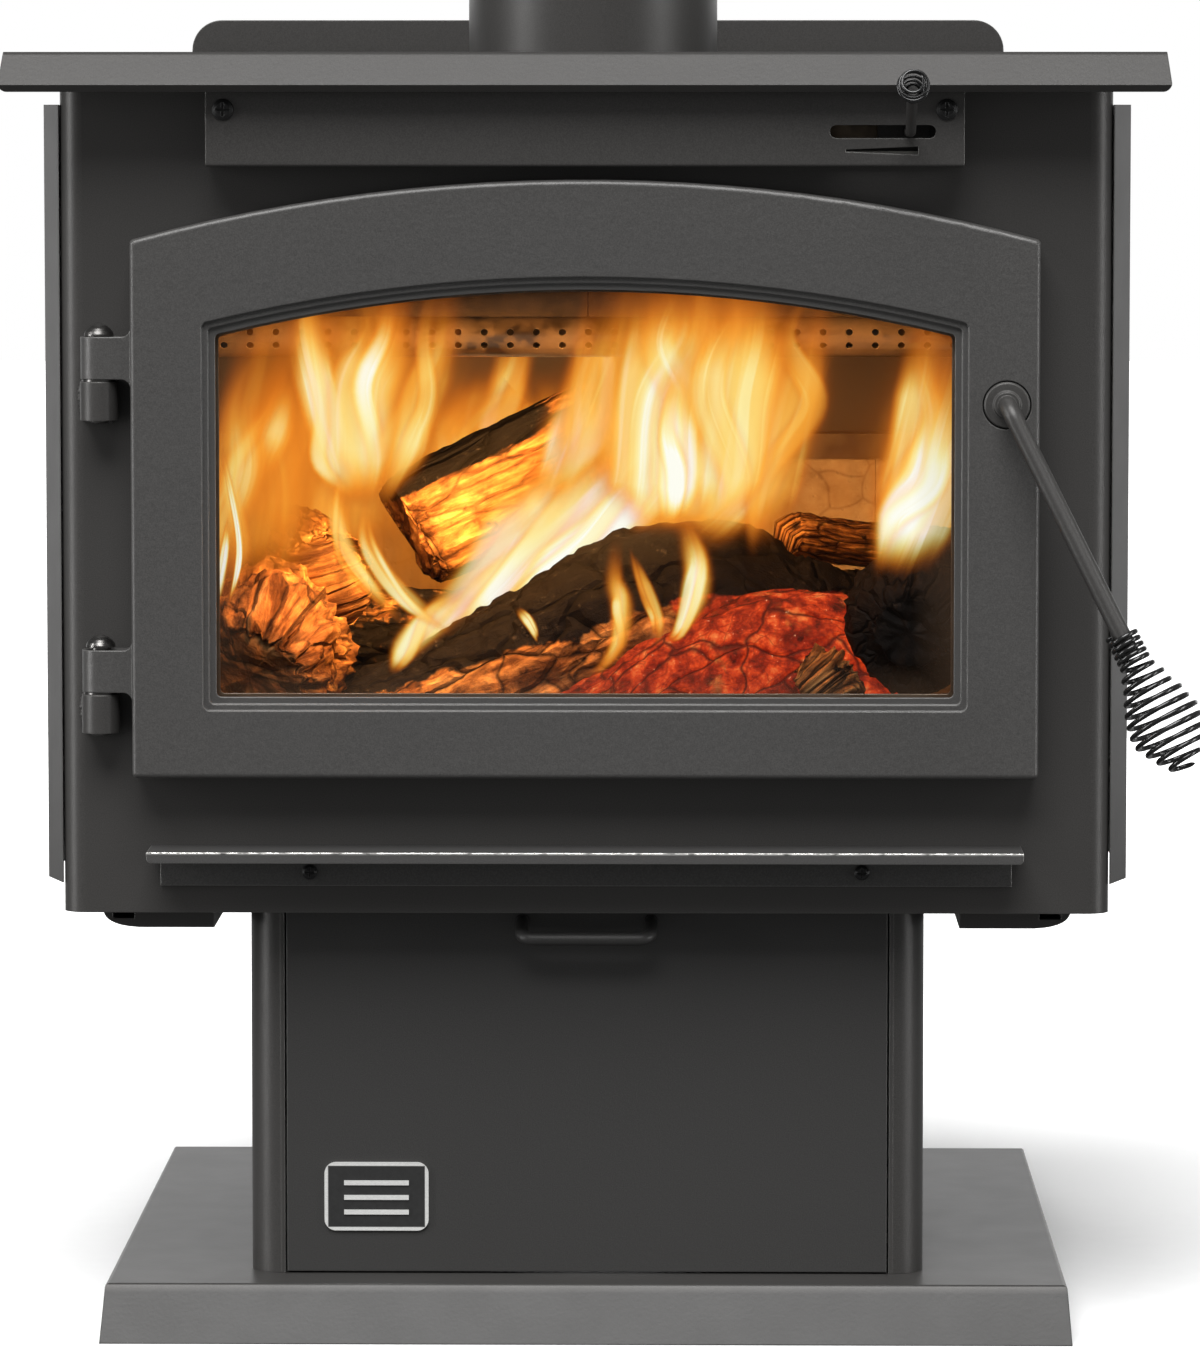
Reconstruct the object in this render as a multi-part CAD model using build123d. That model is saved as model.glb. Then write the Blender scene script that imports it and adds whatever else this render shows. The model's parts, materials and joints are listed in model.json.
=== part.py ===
from build123d import *
import math
import os

# Pedestal wood stove, in millimetres. The origin is on the floor under the middle of the base.
# +X is to the right of someone facing the door, -Y is towards that person and +Z is up.

# ---- driving dimensions -------------------------------------------------------
BODY_WIDTH = 630.0
BODY_FRONT = -270.0
BODY_BACK = 200.0
BODY_BOTTOM = 260.0
TOP_OF_PLATE = 776.0
TOP_THICKNESS = 6.35
WALL = 5.0
BODY_CORNER = 14.0

TOP_WIDTH = 686.6
LIP_WIDTH = 691.5
LIP_BEND_Y = -310.0
LIP_LENGTH = 25.5
LIP_ANGLE = 50.0
TOP_BACK = 204.0

FLUE_BORE = 152.4
FLUE_WALL = 3.2
FLUE_Y = 30.0
FLUE_TOP = 815.5

BASE_HALF_WIDTH = 291.0
BASE_HALF_DEPTH = 270.0
BASE_HEIGHT = 34.0
BASE_FLARE_FRONT = 17.0
BASE_FLARE_SIDE = 2.5
BASE_SHEET = 3.0

PEDESTAL_HALF_WIDTH = 205.5
PEDESTAL_FRONT = -232.0
PEDESTAL_BACK = 205.0
PEDESTAL_CORNER = 21.5
PEDESTAL_SHEET = 2.5
PANEL_HALF_WIDTH = 182.8

DOOR_HALF_WIDTH = 270.0
DOOR_BOTTOM = 344.5
DOOR_SIDE_TOP = 665.0
DOOR_APEX = 700.7
DOOR_FRONT = -305.0
DOOR_REAR = -273.0

GLASS_HALF_WIDTH = 219.6
GLASS_BOTTOM = 393.0
GLASS_SIDE_TOP = 609.0
GLASS_APEX = 635.7

HINGE_X = -289.5
HINGE_Y = -290.0
HINGE_PIN_RADIUS = 6.35
LUG_RADIUS = 11.0
BARREL_RADIUS = 11.4
LOWER_HINGE_BARREL = 370.8
UPPER_HINGE_BARREL = 557.6
BARREL_HEIGHT = 23.1
LUG_HEIGHT = 25.1
HINGE_WASHER = 1.4

HANDLE_X = 250.3
HANDLE_Z = 567.6
HANDLE_ROD = 11.0
HANDLE_SWING = 26.3
HANDLE_LEAN = 11.0
HANDLE_REACH = 151.0

COVER_HALF_WIDTH = 224.5
COVER_FRONT = -305.0
COVER_BOTTOM = 708.5
COVER_TOP = 768.0
COVER_SHEET = 2.0
SLOT_X = 176.2
SLOT_Z = 729.1
LEVER_X = 192.3
LEVER_ROD = 6.3

SHEET_SCREW_HOLE = 2.6
SPACER_RADIUS = 6.0
PEDESTAL_BOLT_HOLE = 4.2

BRICK = (228.6, 114.3, 31.75)
BRICK_JOINT = 0.4
BRICK_START = 10.0

TUBE_RADIUS = 12.7
TUBE_BORE = 11.1
TUBE_Z = 603.0
TUBE_ROWS_Y = (-150.0, -62.0, 26.0, 114.0)
TUBE_HOLE_PITCH = 16.0

AIR_PORTS = (90.0, 140.0)
PORT_WIDTH = 34.0
PORT_Z = (722.0, 736.0)
RAIL_X = (22.0, 221.5)
COVER_SCREW_X = (-214.0, 214.0)
COVER_SCREW_Z = 742.0
MANIFOLD_Z = (585.0, 621.0)
BOARD_THICKNESS = 25.0
SHIELD_X = 327.5
SHIELD_Z = (277.0, 745.0)
SHIELD_SPACER_Z = (340.0, 690.0)
SHIELD_SPACER_Y = (-150.0, 130.0)
REAR_SHIELD_Y = 229.0
REAR_SHIELD_HALF = 271.7
REAR_SHIELD_Z = (283.0, 802.0)
REAR_SPACER_X = (-220.0, 220.0)
REAR_SPACER_Z = (340.0, 700.0)
GLASS_SEAT_Y = -297.5
GLASS_SCREW_MARGIN = 8.4
LATCH_POCKET_X = (242.0, 266.6)
LATCH_POCKET_Y = -291.0
LATCH_POCKET_Z = (515.0, 590.0)
STRIKE_Y = -290.0
STRIKE_THICKNESS = 2.5
CAM_Y = (-286.6, -282.1)
STUD_RADIUS = 4.0
CHUTE_HALF = 56.0
CHUTE_Y = -10.0
BAIL_Z = 287.5
AIR_INLET_Z = 90.0
AIR_INLET_RADIUS = 51.0
ANCHOR_SPACING = 280.0
ANCHOR_HOLE_RADIUS = 6.0
PAN_HALF = 158.0
PAN_Z = (118.0, 222.0)
DRAWER_HANDLE_X = (-39.0, 39.0)
DRAWER_HANDLE_ROOT_Z = 250.5
DRAWER_HANDLE_BAR_Z = 243.0

# ---- places worked out from them ----------------------------------------------
HALF_BODY = BODY_WIDTH / 2
INNER_HALF = HALF_BODY - WALL
INNER_FRONT = BODY_FRONT + WALL
INNER_BACK = BODY_BACK - WALL
PLATE_UNDERSIDE = TOP_OF_PLATE - TOP_THICKNESS
FLOOR_TOP = BODY_BOTTOM + WALL
BRICK_FLOOR = FLOOR_TOP + BRICK[2]
SIDE_BRICK_X = INNER_HALF - BRICK[2]
BACK_BRICK_Y = INNER_BACK - BRICK[2]
FLUE_RADIUS = FLUE_BORE / 2


# ---- shared shapes ------------------------------------------------------------
def block(x, y, z):
    """Box between the low and high corner given as three pairs."""
    size = (x[1] - x[0], y[1] - y[0], z[1] - z[0])
    centre = ((x[0] + x[1]) / 2, (y[0] + y[1]) / 2, (z[0] + z[1]) / 2)
    return Pos(*centre) * Box(*size)


def bar(start, end, radius):
    """Round bar from one point to another."""
    start = Vector(*start)
    run = Vector(*end) - start
    place = Plane(origin=start, z_dir=run.normalized())
    return place * Cylinder(radius, run.length, align=(Align.CENTER, Align.CENTER, Align.MIN))


def upright(x, y, z, radius):
    """Vertical round bar between two heights."""
    return bar((x, y, z[0]), (x, y, z[1]), radius)


def bent_rod(points, bend, radius):
    """Round rod along straight runs joined by bends of one radius."""
    path = FilletPolyline(*points, radius=bend)
    start = Plane(origin=path @ 0, z_dir=path % 0)
    return sweep(start * Circle(radius), path=path)


def turned(profile, origin, direction):
    """Solid of revolution: profile is (distance along the axis, radius) points, closed on the axis."""
    points = [(0, profile[0][0])] + [(r, s) for s, r in profile] + [(0, profile[-1][0])]
    face = make_face(Plane.XZ * Polyline(*points, close=True))
    place = Plane(origin=origin, z_dir=direction)
    return place * revolve(face, Axis.Z)


def plan(points, z):
    """Straight-sided outline seen from above, raised between two heights."""
    face = make_face(Polyline(*points, close=True))
    return Pos(0, 0, z[0]) * extrude(face, z[1] - z[0])


def side_profile(points, x):
    """Outline in the Y-Z plane, run between two X values."""
    face = make_face(Plane.YZ * Polyline(*points, close=True))
    return Pos(x[0], 0, 0) * extrude(face, x[1] - x[0])


def arched(half_width, bottom, side_top, apex, y, corner=3.0):
    """Slab with a flat foot, upright sides and one shallow arch on top, between two Y values."""
    left_top = (-half_width, side_top)
    right_top = (half_width, side_top)
    legs = Polyline(left_top, (-half_width, bottom), (half_width, bottom), right_top)
    crown = ThreePointArc(left_top, (0, apex), right_top)
    face = make_face(legs + crown)
    face = fillet(face.vertices(), corner)
    return Pos(0, y[1], 0) * extrude(Plane.XZ * face, y[1] - y[0])


def glass_outline(grow, y, corner=4.0):
    """Slab in the shape of the window, grown by the same amount all round."""
    return arched(GLASS_HALF_WIDTH + grow, GLASS_BOTTOM - grow, GLASS_SIDE_TOP + grow * 0.9,
                  GLASS_APEX + grow, y, corner)


def mirrored_pair(shape):
    """The shape and its mirror image across the middle plane, as two solids."""
    return Compound(children=[shape, mirror(shape, about=Plane.YZ)])


def group(shapes):
    """Separate solids kept together in one node."""
    return Compound(children=list(shapes))


def cross_head_screw(place, direction, head_radius, head_height, shank_radius, shank_length):
    """Pan-head screw with a cross recess; place is where the head meets the sheet."""
    head = turned([(0, head_radius), (head_height * 0.55, head_radius * 0.96),
                   (head_height, head_radius * 0.6)], (0, 0, 0), (0, 0, 1))
    shank = bar((0, 0, -shank_length), (0, 0, 0), shank_radius)
    reach = head_radius * 0.62
    groove = head_radius * 0.12
    floor = head_height * 0.35
    cross = block((-reach, reach), (-groove, groove), (floor, head_height + 1))
    cross += block((-groove, groove), (-reach, reach), (floor, head_height + 1))
    return Plane(origin=place, z_dir=direction) * (head + shank - cross)


def hex_bolt(place, direction, flats, head_height, shank_radius, shank_length):
    """Hexagon bolt; place is where the underside of the head sits, direction points out of the head."""
    head = extrude(RegularPolygon(flats / 2, 6, major_radius=False), head_height)
    shank = bar((0, 0, -shank_length), (0, 0, 0), shank_radius)
    return Plane(origin=place, z_dir=direction) * (head + shank)


# ---- firebox ------------------------------------------------------------------
def firebox_wrap():
    """Front and both sides bent from one plate, with the door opening and the air ports."""
    height = PLATE_UNDERSIDE - BODY_BOTTOM
    depth = BODY_BACK - BODY_FRONT
    outer = Pos(0, BODY_FRONT + depth / 2) * Rectangle(BODY_WIDTH, depth)
    outer = fillet(outer.vertices().sort_by(Axis.Y)[:2], BODY_CORNER)
    inner_depth = depth + 20
    inner = Pos(0, INNER_FRONT + inner_depth / 2) * Rectangle(2 * INNER_HALF, inner_depth)
    inner = fillet(inner.vertices().sort_by(Axis.Y)[:2], BODY_CORNER - WALL)
    wrap = Pos(0, 0, BODY_BOTTOM) * extrude(outer - inner, height)
    wrap -= glass_outline(7, (BODY_FRONT - 5, INNER_FRONT + 5), 6.0)
    for x in AIR_PORTS:
        wrap -= block((x, x + PORT_WIDTH), (BODY_FRONT - 5, INNER_FRONT + 5), PORT_Z)
    for place in ash_lip_screw_places():
        x, z = place
        wrap -= bar((x, BODY_FRONT - 5, z), (x, INNER_FRONT + 5, z), SHEET_SCREW_HOLE)
    for z in SHIELD_SPACER_Z:
        for y in SHIELD_SPACER_Y:
            wrap -= bar((-HALF_BODY - 5, y, z), (-INNER_HALF + 5, y, z), SHEET_SCREW_HOLE)
            wrap -= bar((INNER_HALF - 5, y, z), (HALF_BODY + 5, y, z), SHEET_SCREW_HOLE)
    return wrap


def firebox_back():
    """Rear plate between the sides, with the port for the secondary air."""
    plate = block((-INNER_HALF, INNER_HALF), (INNER_BACK, BODY_BACK), (BODY_BOTTOM, PLATE_UNDERSIDE))
    plate -= block((-50, 50), (INNER_BACK - 5, BODY_BACK + 5), (590, 616))
    for x in REAR_SPACER_X:
        for z in REAR_SPACER_Z:
            plate -= bar((x, INNER_BACK - 5, z), (x, BODY_BACK + 5, z), SHEET_SCREW_HOLE)
    return plate


def firebox_bottom():
    """Floor plate with the ash opening and the holes for the pedestal bolts."""
    plate = block((-INNER_HALF, INNER_HALF), (INNER_FRONT, INNER_BACK), (BODY_BOTTOM, FLOOR_TOP))
    plate = fillet(plate.edges().filter_by(Axis.Z).sort_by(Axis.Y)[:2], BODY_CORNER - WALL)
    hole = CHUTE_HALF + 0.2
    plate -= block((-hole, hole), (CHUTE_Y - hole, CHUTE_Y + hole),
                   (BODY_BOTTOM - 5, FLOOR_TOP + 5))
    for x, y in pedestal_bolt_places():
        plate -= upright(x, y, (BODY_BOTTOM - 5, FLOOR_TOP + 5), PEDESTAL_BOLT_HOLE)
    return plate


def top_plate():
    """Thick top plate whose front edge is bent down into a sloping lip, with the flue hole."""
    slope = math.radians(LIP_ANGLE)
    down = Vector(-math.cos(slope), -math.sin(slope))
    inward = Vector(math.sin(slope), -math.cos(slope)) * TOP_THICKNESS
    bend = Vector(LIP_BEND_Y, TOP_OF_PLATE)
    tip = bend + down * LIP_LENGTH
    under_bend_y = LIP_BEND_Y + TOP_THICKNESS * math.tan(slope / 2)
    outline = [(TOP_BACK, TOP_OF_PLATE), (bend.X, bend.Y), (tip.X, tip.Y),
               (tip.X + inward.X, tip.Y + inward.Y), (under_bend_y, PLATE_UNDERSIDE),
               (TOP_BACK, PLATE_UNDERSIDE)]
    plate = side_profile(outline, (-LIP_WIDTH / 2, LIP_WIDTH / 2))
    ridge = plate.edges().filter_by(Axis.X).filter_by_position(Axis.Y, LIP_BEND_Y - 0.1, LIP_BEND_Y + 0.1)
    plate = fillet(ridge, 5.0)
    low = tip.Y + inward.Y
    front = make_face(Polyline((-TOP_WIDTH / 2, TOP_OF_PLATE), (TOP_WIDTH / 2, TOP_OF_PLATE),
                               (LIP_WIDTH / 2, low), (-LIP_WIDTH / 2, low), close=True))
    front = fillet(front.vertices().sort_by(Axis.Y)[:2], 5.0)
    depth = TOP_BACK - LIP_BEND_Y + 60
    plate &= Pos(0, TOP_BACK + 10, 0) * extrude(Plane.XZ * front, depth)
    plate -= upright(0, FLUE_Y, (PLATE_UNDERSIDE - 5, TOP_OF_PLATE + 5), FLUE_RADIUS + FLUE_WALL + 0.2)
    return plate


def flue_collar():
    """Round collar that the chimney pipe sits in."""
    z = (PLATE_UNDERSIDE - 4, FLUE_TOP)
    outside = upright(0, FLUE_Y, z, FLUE_RADIUS + FLUE_WALL)
    return outside - upright(0, FLUE_Y, (z[0] - 5, z[1] + 5), FLUE_RADIUS)


def door_frame_ring():
    """Flat bar welded round the inside of the door opening to keep the front plate flat."""
    y = (INNER_FRONT, INNER_FRONT + 14)
    return glass_outline(12, y, 8.0) - glass_outline(7, (y[0] - 5, y[1] + 5), 6.0)


# ---- refractory lining --------------------------------------------------------
def floor_bricks():
    """Floor course laid round the ash opening, with cut strips along both sides."""
    long, short = BRICK[:2]
    half = short / 2 - BRICK_JOINT
    start = INNER_FRONT + BRICK_START
    rows = ((start, start + long - BRICK_JOINT), (start + long, INNER_BACK - 1))
    middles = [side * column * short for column in (1, 2) for side in (-1, 1)]
    columns = [(middle - half, middle + half) for middle in middles]
    columns += [(-INNER_HALF + 1, -2.5 * short), (2.5 * short, INNER_HALF - 1)]
    bricks = [block(x, y, (FLOOR_TOP, BRICK_FLOOR)) for x in columns for y in rows]
    clear = CHUTE_HALF + 1
    bricks.append(block((-half, half), (start, CHUTE_Y - clear), (FLOOR_TOP, BRICK_FLOOR)))
    bricks.append(block((-half, half), (CHUTE_Y + clear, INNER_BACK - 1), (FLOOR_TOP, BRICK_FLOOR)))
    return group(bricks)


def side_bricks():
    """Bricks standing on end along both side walls."""
    long, short, thick = BRICK
    outer = INNER_HALF - 0.3
    first = INNER_FRONT + BRICK_START
    bricks = []
    for side in (-1, 1):
        x = sorted((side * outer, side * (outer - thick)))
        for i in range(3):
            y = first + i * short
            bricks.append(block(x, (y, y + short - BRICK_JOINT), (BRICK_FLOOR, BRICK_FLOOR + long)))
        bricks.append(block(x, (first + 3 * short, BACK_BRICK_Y - 1), (BRICK_FLOOR, BRICK_FLOOR + long)))
    return group(bricks)


def back_bricks():
    """Five bricks standing on end along the rear wall."""
    long = BRICK[0]
    span = 2 * (INNER_HALF - 1)
    width = span / 5
    bricks = []
    for i in range(5):
        x = -span / 2 + i * width
        bricks.append(block((x, x + width - BRICK_JOINT), (BACK_BRICK_Y - 0.5, INNER_BACK - 0.5),
                            (BRICK_FLOOR, BRICK_FLOOR + long)))
    return group(bricks)


def brick_retainers():
    """Angle strips over the brick tops: two along the sides and one along the back."""
    low = BRICK_FLOOR + BRICK[0] + 0.5
    y = (INNER_FRONT + BRICK_START, BACK_BRICK_Y - 6)
    side = block((SIDE_BRICK_X - 4, INNER_HALF), y, (low, low + 2.5))
    side += block((SIDE_BRICK_X - 4, SIDE_BRICK_X - 1.5), y, (low - 14, low))
    rear = block((-SIDE_BRICK_X + 6, SIDE_BRICK_X - 6), (BACK_BRICK_Y - 5, INNER_BACK), (low, low + 2.5))
    ends = (-SIDE_BRICK_X + 6, SIDE_BRICK_X - 6)
    rear += block(ends, (BACK_BRICK_Y - 5, BACK_BRICK_Y - 2.5), (low - 14, low))
    return group([side, mirror(side, about=Plane.YZ), rear])


# ---- secondary air ------------------------------------------------------------
def side_manifolds():
    """Square ducts along both side walls that feed the ends of the burn tubes."""
    x = (INNER_HALF - 30, INNER_HALF)
    y = (-190, INNER_BACK - 30)
    duct = block(x, y, MANIFOLD_Z)
    duct -= block((x[0] + 2, x[1] - 2), (y[0] + 2, y[1] + 5), (MANIFOLD_Z[0] + 2, MANIFOLD_Z[1] - 2))
    for tube_y in TUBE_ROWS_Y:
        duct -= bar((0, tube_y, TUBE_Z), (INNER_HALF - 15, tube_y, TUBE_Z), TUBE_RADIUS + 0.2)
    return mirrored_pair(duct)


def rear_manifold():
    """Cross duct on the rear wall that joins the two side ducts."""
    y = (INNER_BACK - 30, INNER_BACK)
    duct = block((-INNER_HALF, INNER_HALF), y, MANIFOLD_Z)
    inner_z = (MANIFOLD_Z[0] + 2, MANIFOLD_Z[1] - 2)
    duct -= block((-INNER_HALF + 2, INNER_HALF - 2), (y[0] + 2, y[1] - 2), inner_z)
    duct -= block((-50, 50), (y[1] - 5, y[1] + 5), (590, 616))
    for side in (-1, 1):
        x = sorted((side * (INNER_HALF - 2), side * (INNER_HALF - 28)))
        duct -= block(x, (y[0] - 5, y[0] + 5), (MANIFOLD_Z[0] + 2, MANIFOLD_Z[1] - 2))
    return duct


def burn_tube(tube_y):
    """Perforated tube across the firebox, with two rows of small holes facing forward and down."""
    half = INNER_HALF - 18
    tube = bar((-half, tube_y, TUBE_Z), (half, tube_y, TUBE_Z), TUBE_RADIUS)
    tube -= bar((-half - 5, tube_y, TUBE_Z), (half + 5, tube_y, TUBE_Z), TUBE_BORE)
    count = 33
    drills = []
    for angle in (14.0, -24.0):
        out = Vector(0, -math.cos(math.radians(angle)), math.sin(math.radians(angle)))
        for i in range(count):
            x = (i - (count - 1) / 2) * TUBE_HOLE_PITCH
            root = Vector(x, tube_y, TUBE_Z) + out * (TUBE_BORE - 3)
            tip = Vector(x, tube_y, TUBE_Z) + out * (TUBE_RADIUS + 3)
            drills.append(bar(root, tip, 2.2))
    return tube.cut(*drills)


def burn_tubes():
    """Row of perforated tubes under the baffle, from front to rear."""
    return group(burn_tube(y) for y in TUBE_ROWS_Y)


def air_riser():
    """Channel on the outside of the rear plate that carries room air up to the rear duct."""
    channel = block((-60, 60), (BODY_BACK, BODY_BACK + 24), (275, 630))
    channel -= block((-58, 58), (BODY_BACK - 5, BODY_BACK + 22), (270, 628))
    return channel


def baffle_boards():
    """Two halves of the insulating roof that rests on the burn tubes."""
    low = TUBE_Z + TUBE_RADIUS + 0.3
    board = block((0.4, INNER_HALF - 31), (-178, INNER_BACK - 31), (low, low + BOARD_THICKNESS))
    return mirrored_pair(board)


def baffle_blanket():
    """Ceramic wool laid over the baffle boards."""
    low = TUBE_Z + TUBE_RADIUS + 0.5 + BOARD_THICKNESS
    return block((-INNER_HALF + 1, INNER_HALF - 1), (-175, INNER_BACK - 1), (low, low + 13))


# ---- primary air --------------------------------------------------------------
def air_wash_duct():
    """Folded duct inside the front wall that sends primary air down over the window."""
    duct = block((-280, 280), (INNER_FRONT, INNER_FRONT + 30), (668, 762))
    duct -= block((-278, 278), (INNER_FRONT - 5, INNER_FRONT + 28), (670, 760))
    duct -= block((-278, 278), (INNER_FRONT - 5, INNER_FRONT + 7), (660, 672))
    return duct


def damper_rails():
    """Upper and lower strips that hold the damper plate against the front wall."""
    lower = block(RAIL_X, (BODY_FRONT - 5.6, BODY_FRONT), (709.5, 714.4))
    lower += block(RAIL_X, (BODY_FRONT - 5.6, BODY_FRONT - 3.6), (714.4, 717.5))
    upper = block(RAIL_X, (BODY_FRONT - 5.6, BODY_FRONT), (743.8, 748.7))
    upper += block(RAIL_X, (BODY_FRONT - 5.6, BODY_FRONT - 3.6), (740.7, 743.8))
    return group([lower, upper])


def damper_plate():
    """Sliding plate with two ports that open or close the primary air."""
    plate = block((72, 205), (BODY_FRONT - 3.0, BODY_FRONT - 0.5), (714.9, 743.3))
    for x in AIR_PORTS:
        plate -= block((x, x + PORT_WIDTH), (BODY_FRONT - 5, BODY_FRONT), PORT_Z)
    return plate


def air_lever():
    """Round lever welded to the damper plate; it leaves through the slot and turns up past the lip."""
    points = [(LEVER_X, BODY_FRONT - 3.0, SLOT_Z), (LEVER_X, -317, SLOT_Z), (LEVER_X, -338, 748.5),
              (LEVER_X, -354, 753.0)]
    return bent_rod(points, 6.5, LEVER_ROD / 2)


def air_lever_knob():
    """Outer shape of the small wire-spring knob on the end of the air lever."""
    profile = [(0, 5.6), (6, 5.8), (11, 8.0), (17, 10.0), (23, 9.2), (28, 6.5)]
    return sprung_shell(profile, (LEVER_X, -345.5, 750.6), (0, -0.962, 0.272), LEVER_ROD / 2 + 0.05, 1.9)


def sprung_shell(profile, origin, direction, rod_radius, wire):
    """Closed sleeve of one wire's thickness in the shape of a coiled grip."""
    outer = turned(profile, origin, direction)
    hollow = [(s, max(r - wire, rod_radius)) for s, r in profile]
    hollow[0] = (hollow[0][0] - 1, rod_radius)
    hollow[-1] = (hollow[-1][0] + 1, hollow[-1][1])
    return outer - turned(hollow, origin, direction)


def air_cover():
    """Folded cover in front of the damper: face, two end returns and a bottom hem."""
    back = COVER_FRONT + COVER_SHEET
    half = COVER_HALF_WIDTH
    cover = block((-half, half), (COVER_FRONT, BODY_FRONT), (COVER_BOTTOM, COVER_TOP))
    cover -= block((-half + COVER_SHEET, half - COVER_SHEET), (back, BODY_FRONT + 5),
                   (COVER_BOTTOM + COVER_SHEET, COVER_TOP + 5))
    cover -= block((-half + COVER_SHEET, half - COVER_SHEET), (back + 9, BODY_FRONT + 5),
                   (COVER_BOTTOM - 5, COVER_TOP + 5))
    hem = cover.edges().filter_by(Axis.X).filter_by_position(Axis.Y, COVER_FRONT - 0.1, COVER_FRONT + 0.1)
    cover = fillet(hem.sort_by(Axis.Z)[0], 1.6)
    slot = Pos(0, COVER_FRONT + 6, 0) * extrude(Plane.XZ * Pos(SLOT_X, SLOT_Z) * SlotOverall(62.6, 7.7), 10)
    wedge = make_face(Polyline((154.4, 717.3), (197.0, 715.5), (197.0, 720.3), (154.4, 718.5), close=True))
    cover -= slot
    cover -= Pos(0, COVER_FRONT + 6, 0) * extrude(Plane.XZ * wedge, 10)
    for x in COVER_SCREW_X:
        z = COVER_SCREW_Z
        cover -= bar((x, COVER_FRONT - 3, z), (x, COVER_FRONT + 6, z), SHEET_SCREW_HOLE)
    return cover


def cover_brackets():
    """Two small brackets on the front wall that take the cover's screws."""
    back = COVER_FRONT + COVER_SHEET
    x = (COVER_SCREW_X[1] - 6, COVER_SCREW_X[1] + 6)
    top = COVER_SCREW_Z + 11
    bracket = block(x, (back, back + 2.5), (top - 18, top))
    bracket += block(x, (back + 2.5, BODY_FRONT), (top - 2.5, top))
    x, z = COVER_SCREW_X[1], COVER_SCREW_Z
    bracket -= bar((x, back - 2, z), (x, back + 5, z), SHEET_SCREW_HOLE)
    return mirrored_pair(bracket)


def cover_screws():
    """Two dark cross-head screws in the face of the cover."""
    return group(cross_head_screw((x, COVER_FRONT, COVER_SCREW_Z), (0, -1, 0), 6.5, 2.6, 2.5, 7)
                 for x in COVER_SCREW_X)


# ---- shields ------------------------------------------------------------------
def side_shield(side):
    """Sheet shield beside the firebox; its front edge slopes in to meet the body."""
    sheet = 1.5
    outer = SHIELD_X
    points = [(HALF_BODY + 0.4, -262), (outer, -228), (outer, 190), (outer - sheet, 190),
              (outer - sheet, -228 + 0.4), (HALF_BODY + 0.4, -262 + 4)]
    shield = plan([(side * x, y) for x, y in points], SHIELD_Z)
    for z in SHIELD_SPACER_Z:
        for y in SHIELD_SPACER_Y:
            shield -= bar((side * (outer - 5), y, z), (side * (outer + 5), y, z), SHEET_SCREW_HOLE)
    return shield


def left_side_shield():
    """Shield on the hinge side."""
    return side_shield(-1)


def right_side_shield():
    """Shield on the latch side."""
    return side_shield(1)


def rear_shield():
    """Tall sheet shield behind the firebox with rounded upper corners and folded sides."""
    width = 2 * REAR_SHIELD_HALF
    low, high = REAR_SHIELD_Z
    face = Pos(0, (low + high) / 2) * Rectangle(width, high - low)
    face = fillet(face.vertices().sort_by(Axis.Y)[2:], 20.0)
    sheet = Pos(0, REAR_SHIELD_Y + 1.5, 0) * extrude(Plane.XZ * face, 1.5)
    for side in (-1, 1):
        x = sorted((side * REAR_SHIELD_HALF, side * (REAR_SHIELD_HALF - 1.5)))
        sheet += block(x, (REAR_SHIELD_Y - 14, REAR_SHIELD_Y), (low, TOP_OF_PLATE - 30))
    for x in REAR_SPACER_X:
        for z in REAR_SPACER_Z:
            sheet -= bar((x, REAR_SHIELD_Y - 5, z), (x, REAR_SHIELD_Y + 5, z), SHEET_SCREW_HOLE)
    return sheet


def shield_spacers():
    """Tube spacers between the firebox and its three shields."""
    tubes = []
    for z in SHIELD_SPACER_Z:
        for y in SHIELD_SPACER_Y:
            for side in (-1, 1):
                ends = ((side * HALF_BODY, y, z), (side * (SHIELD_X - 1.5), y, z))
                bore = bar((side * (HALF_BODY - 5), y, z), (side * 340, y, z), SHEET_SCREW_HOLE)
                tubes.append(bar(*ends, SPACER_RADIUS) - bore)
    for x in REAR_SPACER_X:
        for z in REAR_SPACER_Z:
            ends = ((x, BODY_BACK, z), (x, REAR_SHIELD_Y, z))
            bore = bar((x, BODY_BACK - 5, z), (x, REAR_SHIELD_Y + 5, z), SHEET_SCREW_HOLE)
            tubes.append(bar(*ends, SPACER_RADIUS) - bore)
    return group(tubes)


def sheet_screws():
    """Cross-head screws that hold the shields through their spacers, and the ash lip."""
    screws = []
    for z in SHIELD_SPACER_Z:
        for y in SHIELD_SPACER_Y:
            for side in (-1, 1):
                screws.append(sheet_screw((side * SHIELD_X, y, z), (side, 0, 0), 16))
    for x in REAR_SPACER_X:
        for z in REAR_SPACER_Z:
            screws.append(sheet_screw((x, REAR_SHIELD_Y + 1.5, z), (0, 1, 0), 34))
    for x, z in ash_lip_screw_places():
        screws.append(sheet_screw((x, BODY_FRONT - 3, z), (0, -1, 0), 7.5))
    return group(screws)


def sheet_screw(place, direction, length):
    """One of the small body screws, which differ only in length."""
    return cross_head_screw(place, direction, 4.7, 2.4, 2.5, length)


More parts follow.
